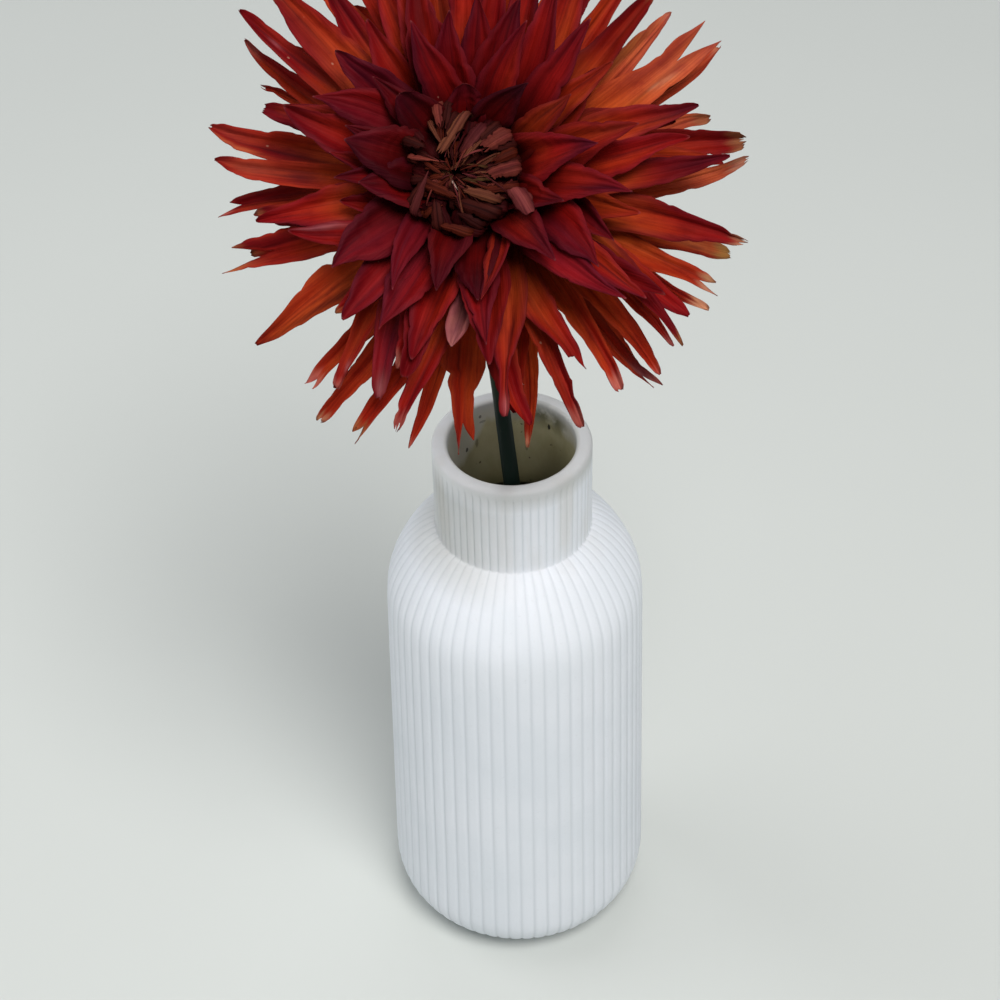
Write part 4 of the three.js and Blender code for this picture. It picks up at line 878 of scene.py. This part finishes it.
# narrow dried strips that lie over each other towards the middle
for j in range(26):
    rng = np.random.default_rng(700 + j)
    az = (j * 137.5 + 30 * rng.random()) * DEG
    ro, ri = 5.0 + 7.0 * rng.random(), 0.6 + 3.2 * rng.random()
    turn = (rng.random() - 0.5) * 1.1
    eye_floret(build, rng, (ro * math.cos(az) - 1.4, ro * math.sin(az) - 0.4, ri * math.cos(az + turn) - 2.6, ri * math.sin(az + turn) - 0.8, 0.2 + 1.6 * rng.random() - 0.05 * ro,
                            0.8 + 1.5 * rng.random(), "TBMDROBD"[j % 8], "prb"[j % 3]), low=19.6, root=4.4, root_h=10.8)
# near black ones low in the eye: painted shade
for j in range(8):
    rng = np.random.default_rng(640 + j)
    az = (j * 45 + 20 * rng.random()) * DEG
    eye_floret(build, rng, (8.2 * math.cos(az), 8.2 * math.sin(az), 3.4 * math.cos(az + 0.3), 3.4 * math.sin(az + 0.3), -3.4, 4.8, "K", "b"), low=19.8, root=4.6, root_h=10.6)
for j in range(46):
    rng = np.random.default_rng(1700 + j)
    az = (j * 137.5 + 40 * rng.random()) * DEG
    ro, ri = 3.5 + 9.5 * rng.random(), 0.5 + 3.5 * rng.random()
    ri = max(ri, ro - 6.5)
    turn = (rng.random() - 0.5) * 0.9
    eye_floret(build, rng, (ro * math.cos(az) - 1.4, ro * math.sin(az) - 0.6, ri * math.cos(az + turn) - 2.6, ri * math.sin(az + turn) - 0.8, 1.2 + 1.7 * rng.random() - 0.06 * ro,
                            0.35 + 0.6 * rng.random(), "TDRBKMPDTB"[j % 10], "p"), low=19.6, root=4.4, root_h=10.8)
build.make("eye_middle", M_EYE, "eye", "centre_florets_row_2")
build = Build()
# dark ones at the very middle; the near black K among them is painted shade
for j in range(6):
    rng = np.random.default_rng(660 + j)
    az = (j * 60 + 15 + 20 * rng.random()) * DEG
    eye_floret(build, rng, (4.4 * math.cos(az), 4.4 * math.sin(az), 0.8 * math.cos(az + 0.5), 0.8 * math.sin(az + 0.5), -4.6 + rng.random(), 3.6, "KD"[j % 2], "p"), low=20.0,
               root=2.4, root_h=10.9)
build.make("eye_inner", M_EYE, "eye", "centre_florets_row_3")


# ------------------------------------------------------------------ bracts
def bract_material(name, base, edge, rough):
    m, nt, b = nodes_of(name)
    tint = node(nt, "ShaderNodeAttribute", attribute_name="tint")
    pc = node(nt, "ShaderNodeAttribute", attribute_name="blade")
    fine = noise(nt, vmul(nt, pc.outputs["Vector"], (3.0, 0.12, 1.0)), 1.0, 2.5)
    blot = noise(nt, vmul(nt, pc.outputs["Vector"], (0.6, 0.25, 1.0)), 1.0, 4.0)
    c = mix_colour(nt, band(nt, fine, 0.38, 0.62, 0.5, 0.0), tint.outputs["Color"], (0.5, 0.55, 0.4), "MULTIPLY")
    c = mix_colour(nt, band(nt, blot, 0.5, 0.75, 0.0, 0.45), c, (0.55, 0.4, 0.3), "MULTIPLY")
    nt.links.new(c, b.inputs["Base Color"])
    nt.links.new(band(nt, blot, 0.3, 0.7, rough - 0.06, rough + 0.1), b.inputs["Roughness"])
    bump(nt, b, fine, 0.5, 0.0004)
    return m


M_BRACT = bract_material("bract_green", None, None, 0.5)
M_SCALE = bract_material("bract_papery", None, None, 0.45)


def flat_colour(a, b, tipc):
    def colour(t, x, w, is_back):
        c = mix(np.broadcast_to(a, t.shape + (3,)), b, np.abs(x) ** 2)
        return mix(c, tipc, smooth(t, 0.75, 1.0) * 0.8)
    return colour


build = Build()
beta, g0, _ = row_shape(12)
for j in range(8):
    rng = np.random.default_rng(800 + j)
    az = 12 + j * 45
    blade(build, arc_place((beta, g0, 0.004), az, az + 2, 0.4 if j % 2 else -0.4), 22, 10.5, "b", rng, flat_colour(lin(138, 128, 76), lin(128, 84, 54), lin(122, 56, 42)),
          theta=(0.3, 0.55, 0.7), pleat=0.16, wave=0.35, ruffle=0.25, table=[(0, 0.75), (0.3, 1), (0.55, 0.97), (0.75, 0.74), (0.88, 0.42), (0.96, 0.16), (1, 0.04)], rows=36, half=6, nicks=1.5)
build.make("bracts_inner", M_SCALE, "inner_bracts", "inner_bracts")
for j in range(5):
    rng = np.random.default_rng(900 + j)
    az = 20 + j * 72
    build = Build()
    blade(build, arc_place((121 * DEG, 116 * DEG, 22 * DEG / 17), az, az + 3), 17, 7.5, "b", rng, flat_colour(lin(66, 98, 48), lin(84, 110, 56), lin(96, 84, 46)),
          theta=(0.5, 0.75, 0.8), pleat=0.22, wave=0.45, thick=0.8, table=[(0, 0.6), (0.35, 0.86), (0.6, 1.0), (0.78, 0.84), (0.9, 0.5), (0.97, 0.2), (1, 0.05)], start=-1.0, rows=36, half=6,
          twist=0.5 * (rng.random() - 0.5))
    build.make("bract_outer_%d" % (j + 1), M_BRACT, "outer_bracts", "outer_bract_%d" % (j + 1))


# ------------------------------------------------------------------ stem
STEM_POINTS = [(15.6, -7.9, 6.7), (7.6, -12.6, 107), (-0.5, -17.15, 208), (-3.7, -18.9, 248), (-6.3, -20.0, 280), (-6.9, -19.3, 297),
               HEAD - 15.5 * A, HEAD - 8.0 * A]
STEM_RADII = [(0, 2.75), (0.62, 2.45), (0.86, 2.2), (0.93, 2.5), (0.965, 3.3), (1, 5.5)]


def tube(centre, radius, sides, ridges=0.0, knobs=()):
    n = len(centre)
    tan = np.gradient(centre, axis=0)
    tan /= np.linalg.norm(tan, axis=1)[:, None]
    side = np.array([1.0, 0, 0]) - tan * tan[:, :1]
    side /= np.linalg.norm(side, axis=1)[:, None]
    other = np.cross(tan, side)
    a = np.linspace(0, 2 * np.pi, sides, endpoint=False)
    r = radius[:, None] * (1 + ridges * np.cos(6 * a)[None, :])
    v = centre[:, None, :] + r[..., None] * (np.cos(a)[None, :, None] * side[:, None, :] + np.sin(a)[None, :, None] * other[:, None, :])
    faces = []
    for i in range(n - 1):
        for j in range(sides):
            k2 = (j + 1) % sides
            faces.append((i * sides + j, i * sides + k2, (i + 1) * sides + k2, (i + 1) * sides + j))
    v = v.reshape(-1, 3)
    v = np.concatenate([v, centre[:1], centre[-1:]])
    for j in range(sides):
        k2 = (j + 1) % sides
        faces.append((n * sides, k2, j))
        faces.append((n * sides + 1, (n - 1) * sides + j, (n - 1) * sides + k2))
    return v, faces


m_stem, nt, b = nodes_of("stem_green")
tc = node(nt, "ShaderNodeTexCoord")
streak = noise(nt, vmul(nt, tc.outputs["Object"], (900, 900, 14)), 1.0, 3.0)
blot = noise(nt, vmul(nt, tc.outputs["Object"], (160, 160, 60)), 1.0, 4.0)
pores = node(nt, "ShaderNodeTexVoronoi")
pores.inputs["Scale"].default_value = 1.0
nt.links.new(vmul(nt, tc.outputs["Object"], (420, 420, 180)), pores.inputs["Vector"])
sepz = node(nt, "ShaderNodeSeparateXYZ")
nt.links.new(tc.outputs["Object"], sepz.inputs[0])
# the skin is near black: its own dark green, made darker still as painted shade of the flower above
c = mix_colour(nt, streak, (0.0018, 0.006, 0.005), (0.006, 0.014, 0.009))
c = mix_colour(nt, band(nt, blot, 0.5, 0.75, 0.0, 0.5), c, (0.014, 0.011, 0.011))
c = mix_colour(nt, band(nt, sepz.outputs["Z"], 0.235, 0.30, 0.0, 0.7), c, (0.05, 0.085, 0.03))
c = mix_colour(nt, band(nt, pores.outputs["Distance"], 0.12, 0.02, 0.0, 0.4), c, (0.05, 0.06, 0.035))
nt.links.new(c, b.inputs["Base Color"])
nt.links.new(band(nt, streak, 0.3, 0.7, 0.46, 0.6), b.inputs["Roughness"])
b.inputs["Specular IOR Level"].default_value = 0.05
h = math_node(nt, "SUBTRACT", streak, math_node(nt, "MULTIPLY", band(nt, pores.outputs["Distance"], 0.16, 0.04), 0.5))
bump(nt, b, h, 0.5, 0.0003)

centre, u = catmull(STEM_POINTS, 180)
radius = ramp(STEM_RADII, u)
radius = radius * (1 + 0.015 * np.sin(u * 40) + 0.01 * np.sin(u * 97 + 1))
v1, f1 = tube(centre, radius, 30, 0.018)
# receptacle: the swollen top that the florets stand on
rr, rh = REC_R - 1.7, REC_H - 1.7
lat, lon = 24, 48
v2 = []
for i in range(lat + 1):
    a = math.pi * i / lat
    for j in range(lon):
        p = 2 * math.pi * j / lon
        v2.append(HEAD + rr * math.sin(a) * (math.cos(p) * U + math.sin(p) * V) + rh * math.cos(a) * A)
v2 = np.array(v2)
f2 = []
for i in range(lat):
    for j in range(lon):
        k2 = (j + 1) % lon
        q4 = (i * lon + j, (i + 1) * lon + j, (i + 1) * lon + k2, i * lon + k2)
        f2.append(q4)
# keep the poles as single points
v2, inv = np.unique(np.round(v2, 6), axis=0, return_inverse=True)
f3 = []
for q4 in f2:
    q5 = []
    for i in q4:
        i = int(inv[i])
        if i not in q5:
            q5.append(i)
    if len(q5) > 2:
        f3.append(tuple(i + len(v1) for i in q5))
stem = make_object("stem_fine", np.concatenate([v1, v2]), f1 + f3, m_stem)
m_rec, nt, b = nodes_of("receptacle_painted_shade")
tc = node(nt, "ShaderNodeTexCoord")
dots = noise(nt, tc.outputs["Object"], 700, 3)
nt.links.new(mix_colour(nt, band(nt, dots, 0.35, 0.65), (0.012, 0.004, 0.005), (0.04, 0.02, 0.012)), b.inputs["Base Color"])
nt.links.new(band(nt, dots, 0.3, 0.7, 0.6, 0.75), b.inputs["Roughness"])
bump(nt, b, dots, 0.5, 0.0004)
stem.data.materials.append(m_rec)
flags = np.zeros(len(f1) + len(f3), int)
allv = np.concatenate([v1, v2])
for i, f in enumerate(f3):      # its back is green skin, its front painted near black under the florets: painted shade where it shows through
    flags[len(f1) + i] = int((allv[list(f)].mean(0) - HEAD) @ A > -1.5)
stem.data.polygons.foreach_set("material_index", flags)
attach(stem, "root")
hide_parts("stem")


# ------------------------------------------------------------------ vase
H, NECK_OUT, NECK_IN, NECK_Z = 208.2, 25.0, 20.0, 175.0
SH_R, SH_Z, SH_P = 41.8, 150.5, 1.44
FOOT_R, CORNER, WALL, FLOOR = 44.7, 20.0, 5.0, 6.0
RIBS, RIB_D, RIB_TOP = 60, 0.46, 205.4
PER = 10
cols = RIBS * PER
ring = []  # r, z, rib depth factor, inside
ring.append((0.0, 0.25, 0, 0))
ring.append((14.0, 0.25, 0, 0))
ring.append((22.0, 0.1, 0, 0))
ring.append((FOOT_R - CORNER, 0.0, 0, 0))
for a in np.linspace(6, 90, 13):
    ring.append((FOOT_R - CORNER + CORNER * math.sin(a * DEG), CORNER * (1 - math.cos(a * DEG)), float(smooth(a, 14, 52)), 0))
for z in [30, 45, 60, 75, 90, 105, 118, 125, 130, 134, 137, 140, 143, 145.5, 148, SH_Z]:
    ring.append((FOOT_R + (SH_R - FOOT_R) * (z - CORNER) / (SH_Z - CORNER), z, 1, 0))
for a in list(np.linspace(4, 60, 11)) + list(np.linspace(64, 88, 8)):
    cc, ss = math.cos(a * DEG) ** (2 / SH_P), math.sin(a * DEG) ** (2 / SH_P)
    ring.append((NECK_OUT + (SH_R - NECK_OUT) * cc, SH_Z + (NECK_Z - SH_Z) * ss, 1, 0))
ring.append((NECK_OUT, NECK_Z + 0.4, 1, 0))
for z in (178, 184, 192, 199, 202.0, 203.0, 203.8, 204.4, 204.9, 205.4, 205.9):
    ring.append((NECK_OUT, z, 1, 0))
RIM = 1.7
for a in np.linspace(10, 170, 11):
    # rounded rim
    mid = (NECK_OUT + NECK_IN) / 2
    half_w = (NECK_OUT - NECK_IN) / 2
    ca, sa = math.cos(a * DEG), math.sin(a * DEG)
    ring.append((mid + half_w * math.copysign(abs(ca) ** 0.62, ca), H - RIM + RIM * abs(sa) ** 0.75, 0, 0.0 if a < 120 else 0.3))
for z in (204, 200, 194, 186, 178, 173.6):
    ring.append((NECK_IN, z, 0, 1))
bore = [(NECK_IN + 0.6, 172.2), (NECK_IN + 4.5, NECK_Z - 5.2), (SH_R - WALL - 3.6, SH_Z + 6), (SH_R - WALL, SH_Z - 6), (FOOT_R - WALL, FLOOR + 15),
        (FOOT_R - WALL - 4.4, FLOOR + 4.4), (FOOT_R - WALL - 15, FLOOR), (12.0, FLOOR), (0.0, FLOOR)]
fine_bore = [bore[0]]
for (r0, z0), (r1, z1) in zip(bore, bore[1:]):
    for f in (0.34, 0.67, 1.0):
        fine_bore.append((r0 + (r1 - r0) * f, z0 + (z1 - z0) * f))
for r, z in fine_bore:
    ring.append((r, z, 0, 1))
known = np.array([(z, r) for r, z, rib, ins in ring if not ins and rib == 1 and 30 <= z <= NECK_Z])
level = np.arange(30, NECK_Z + 0.01, 0.25)
outer_r = np.interp(level, known[:, 0], known[:, 1])
bell = np.exp(-(np.arange(-56, 57) * 0.25 / 4.5) ** 2 / 2)
soft_r = np.convolve(np.pad(outer_r, 56, mode="edge"), bell / bell.sum(), mode="valid")
soft_r = outer_r + (soft_r - outer_r) * smooth(level, 116, 130) * (1 - smooth(level, 158, 171))
ring = [(float(np.interp(z, level, soft_r)) if not ins and rib == 1 and 30 <= z <= NECK_Z else r, z, rib, ins) for r, z, rib, ins in ring]
phi = np.arange(cols) * 2 * math.pi / cols
uu = ((np.arange(cols) % PER) / PER) * 2 - 1          # -1 in a groove, 0 on a crest
reed = np.abs(uu) ** 3.2
verts, groove, inner = [], [], []
wob = 0.16 * np.sin(phi * 2 + 0.6) + 0.1 * np.sin(phi * 3 + 2.0)
for r, z, rib, ins in ring:
    d = RIB_D * rib
    if z > 199 and not ins and r > 24.9:
        top = RIB_TOP - 1.3 * np.abs(uu) ** 0.0 * (1 - np.sqrt(np.clip(1 - uu ** 2, 0, 1))) * 0
        fade = np.clip((RIB_TOP - 0.9 * (1 - np.abs(uu)) - z) / 1.3, 0, 1)
        d = RIB_D * rib * fade
    rad = r - d * reed + (0.0 if ins or r < 1 else 0.0) * wob
    verts.append(np.stack([rad * np.cos(phi), rad * np.sin(phi), np.full(cols, z)], axis=1))
    groove.append(reed * rib if not ins else np.zeros(cols))
    inner.append(np.full(cols, float(ins)))
nring = len(ring)
verts = np.concatenate(verts)
groove, inner = np.concatenate(groove), np.concatenate(inner)
# the two ends of the profile are single points
keep = np.concatenate([[0], np.arange(cols, (nring - 1) * cols), [(nring - 1) * cols]])
remap = np.full(nring * cols, -1)
remap[keep] = np.arange(len(keep))
remap[:cols] = 0
remap[(nring - 1) * cols:] = len(keep) - 1
faces = []
j0 = np.arange(cols)
j1 = (j0 + 1) % cols
for i in range(nring - 1):
    a, b2, c2, d2 = remap[i * cols + j0], remap[i * cols + j1], remap[(i + 1) * cols + j1], remap[(i + 1) * cols + j0]
    if i == 0:
        faces += list(zip(a.tolist(), d2.tolist(), c2.tolist()))
    elif i == nring - 2:
        faces += list(zip(a.tolist(), d2.tolist(), b2.tolist()))
    else:
        faces += list(zip(a.tolist(), d2.tolist(), c2.tolist(), b2.tolist()))
faces = [f[::-1] for f in faces]

m_vase, nt, b = nodes_of("matt_white_ceramic")
tc = node(nt, "ShaderNodeTexCoord")
obj = tc.outputs["Object"]
ga = node(nt, "ShaderNodeAttribute", attribute_name="groove").outputs["Fac"]
ia = node(nt, "ShaderNodeAttribute", attribute_name="inside").outputs["Fac"]
sepz = node(nt, "ShaderNodeSeparateXYZ")
nt.links.new(obj, sepz.inputs[0])
zz = sepz.outputs["Z"]
cloud = noise(nt, obj, 26, 4)
grain = noise(nt, obj, 900, 3)
streak = noise(nt, vmul(nt, obj, (130, 130, 22)), 1.0, 4)
c = mix_colour(nt, band(nt, cloud, 0.35, 0.65), (0.80, 0.84, 0.89), (0.86, 0.89, 0.94))
# painted shade: the grooves between the ribs darker
c = mix_colour(nt, math_node(nt, "MULTIPLY", band(nt, ga, 0.25, 1.0), band(nt, cloud, 0.3, 0.7, 0.22, 0.5)), c, (0.58, 0.62, 0.66))
c = mix_colour(nt, band(nt, grain, 0.62, 0.75, 0.0, 0.12), c, (0.55, 0.55, 0.55))
# painted shade: the body below the shoulder a little darker, as it gets less light from above
c = mix_colour(nt, band(nt, zz, 0.15, 0.12, 0.0, 1.0), c, (0.945, 0.95, 0.955), "MULTIPLY")
warm = math_node(nt, "MULTIPLY", band(nt, zz, 0.168, 0.182), band(nt, streak, 0.42, 0.66, 0.0, 0.35))
c = mix_colour(nt, warm, c, (0.66, 0.63, 0.57))
# the rim is greyer than the body, most of all on its right, and the neck is greyer on its left; the greyer right of the
# rim and left of the neck are painted shade
c = mix_colour(nt, band(nt, zz, 0.199, 0.206, 0.0, 0.6), c, (0.86, 0.86, 0.84))
side_shade = math_node(nt, "MULTIPLY", band(nt, zz, 0.200, 0.2055), band(nt, math_node(nt, "ADD", sepz.outputs["X"], band(nt, cloud, 0.3, 0.7, -0.004, 0.004)), -0.019, -0.002))
c = mix_colour(nt, side_shade, c, (0.765, 0.77, 0.765), "MULTIPLY")
side_shade = math_node(nt, "MULTIPLY", math_node(nt, "MULTIPLY", band(nt, zz, 0.166, 0.174), band(nt, zz, 0.205, 0.198)), band(nt, math_node(nt, "ADD", sepz.outputs["X"], band(nt, streak, 0.3, 0.7, -0.004, 0.004)), 0.002, -0.016))
c = mix_colour(nt, side_shade, c, (0.83, 0.82, 0.78), "MULTIPLY")
# inside of the neck: raw, stained clay
stain = noise(nt, vmul(nt, obj, (70, 70, 40)), 1.0, 5)
ci = mix_colour(nt, band(nt, stain, 0.35, 0.65), (0.72, 0.68, 0.46), (0.50, 0.46, 0.27))
# painted shade: darker with depth down the neck
ci = mix_colour(nt, band(nt, zz, 0.198, 0.17, 0.0, 0.95), ci, (0.10, 0.09, 0.03))
speck = noise(nt, obj, 330, 2)
ci = mix_colour(nt, band(nt, speck, 0.70, 0.74, 0.0, 0.8), ci, (0.05, 0.04, 0.03))
# glaze that ran over the rim, further down on the left
limit = math_node(nt, "ADD", band(nt, sepz.outputs["X"], -0.0152, -0.0078, 0.186, 0.2015), band(nt, streak, 0.3, 0.7, -0.0024, 0.0024))
ran = band(nt, math_node(nt, "SUBTRACT", zz, limit), -0.0012, 0.0022, 0.0, 0.92)
ci = mix_colour(nt, ran, ci, (0.8, 0.79, 0.72))
ci = mix_colour(nt, band(nt, sepz.outputs["X"], 0.004, 0.014), ci, (0.66, 0.65, 0.6), "MULTIPLY")
# a dirty patch right under the rim, behind the stem and right of it
dirt = noise(nt, vmul(nt, obj, (190, 190, 150)), 1.0, 5)
dirty = math_node(nt, "MULTIPLY", band(nt, sepz.outputs["X"], -0.003, 0.003), band(nt, sepz.outputs["X"], 0.019, 0.0145))
dirty = math_node(nt, "MULTIPLY", dirty, math_node(nt, "MULTIPLY", band(nt, zz, 0.1965, 0.2025), band(nt, dirt, 0.42, 0.58, 0.1, 0.85)))
ci = mix_colour(nt, dirty, ci, (0.13, 0.125, 0.065))
for at, size, amount in (((11.9, 16.0, 199.5), (0.55, 0.55, 1.15), 0.97), ((-14.3, 14.0, 192.4), (0.6, 0.6, 0.9), 0.8), ((-11.1, 16.7, 193.0), (0.6, 0.5, 1.8), 0.45),
                         ((4.9, 19.4, 188.5), (0.5, 0.5, 1.7), 0.45), ((-9.8, 17.4, 203.2), (0.5, 0.5, 0.7), 0.6), ((-9.0, 17.8, 200.9), (1.3, 0.8, 0.5), 0.35)):
    away = node(nt, "ShaderNodeVectorMath")
    away.operation = "DISTANCE"
    nt.links.new(vmul(nt, obj, tuple(1000 / k for k in size)), away.inputs[0])
    away.inputs[1].default_value = tuple(a / k for a, k in zip(at, size))
    ci = mix_colour(nt, band(nt, math_node(nt, "ADD", away.outputs["Value"], band(nt, grain, 0.3, 0.7, -0.2, 0.2)), 1.15, 0.8, 0.0, amount), ci, (0.02, 0.018, 0.015))
c = mix_colour(nt, ia, c, ci)
nt.links.new(c, b.inputs["Base Color"])
nt.links.new(band(nt, cloud, 0.3, 0.7, 0.5, 0.62), b.inputs["Roughness"])
b.inputs["Specular IOR Level"].default_value = 0.4
hh = math_node(nt, "ADD", math_node(nt, "MULTIPLY", grain, 0.5), math_node(nt, "MULTIPLY", cloud, 1.0))
bump(nt, b, hh, 0.25, 0.0005)
vase = make_object("vase_fine", verts[keep], faces, m_vase)
for nm, arr in (("groove", groove[keep]), ("inside", inner[keep])):
    at = vase.data.attributes.new(nm, "FLOAT", "POINT")
    at.data.foreach_set("value", arr)
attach(vase, "root")
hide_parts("vase")


# ------------------------------------------------------------------ floor, light, camera
floor_v = np.array([(-2500, -2500, -0.05), (2500, -2500, -0.05), (2500, 2500, -0.05), (-2500, 2500, -0.05)], float)
m_floor, nt, b = nodes_of("pale_floor")
tc = node(nt, "ShaderNodeTexCoord")
n1 = noise(nt, tc.outputs["Object"], 3.0, 3)
nt.links.new(mix_colour(nt, n1, (0.59, 0.615, 0.59), (0.63, 0.655, 0.63)), b.inputs["Base Color"])
b.inputs["Roughness"].default_value = 0.9
b.inputs["Specular IOR Level"].default_value = 0.2
floor = make_object("floor", floor_v, [(0, 1, 2, 3)], m_floor)


def area(name, loc, target, size, power, colour):
    la = bpy.data.lights.new(name, "AREA")
    la.shape, la.size, la.energy, la.color = "DISK", size, power, colour
    ob = bpy.data.objects.new(name, la)
    bpy.context.scene.collection.objects.link(ob)
    from mathutils import Vector
    ob.location = loc
    ob.rotation_euler = (Vector(target) - Vector(loc)).to_track_quat("-Z", "Y").to_euler()
    return ob


area("key", (0.38, -1.0, 1.98), (0, 0, 0.2), 1.0, 37.5, (1.0, 0.985, 0.97))
area("left", (-1.15, 0.3, 1.5), (0, 0, 0.2), 1.2, 8, (0.98, 0.985, 1.0))
area("fill", (-1.2, -0.7, 0.9), (0, 0, 0.2), 1.2, 2.0, (0.93, 0.97, 1.0))
area("back", (0.1, 0.9, 1.7), (0, 0, 0.25), 1.2, 6, (0.97, 0.98, 1.0))
world = bpy.data.worlds.new("studio")
bpy.context.scene.world = world
world.use_nodes = True
bg = world.node_tree.nodes["Background"]
bg.inputs[0].default_value = (0.93, 0.96, 1.0, 1)
bg.inputs[1].default_value = 0.21

cam_data = bpy.data.cameras.new("camera")
cam = bpy.data.objects.new("camera", cam_data)
bpy.context.scene.collection.objects.link(cam)
cam_data.lens, cam_data.sensor_width = 77.967, 36
cam_data.clip_start, cam_data.clip_end = 0.01, 20
theta, yaw, roll = 0.738538, -0.003732, -0.024608
fwd = np.array([math.sin(yaw) * math.cos(theta), math.cos(yaw) * math.cos(theta), -math.sin(theta)])
right = np.array([math.cos(yaw), -math.sin(yaw), 0])
down = np.cross(fwd, right)
cr, sr = math.cos(roll), math.sin(roll)
rr_, dd_ = cr * right - sr * down, sr * right + cr * down
from mathutils import Matrix
mtx = Matrix.Identity(4)
for i in range(3):
    mtx[i][0], mtx[i][1], mtx[i][2] = rr_[i], -dd_[i], -fwd[i]
mtx[0][3], mtx[1][3], mtx[2][3] = -0.002207, -0.507373, 0.645222
cam.matrix_world = mtx
bpy.context.scene.camera = cam
bpy.context.scene.view_settings.view_transform = "Standard"
bpy.context.scene.view_settings.look = "None"
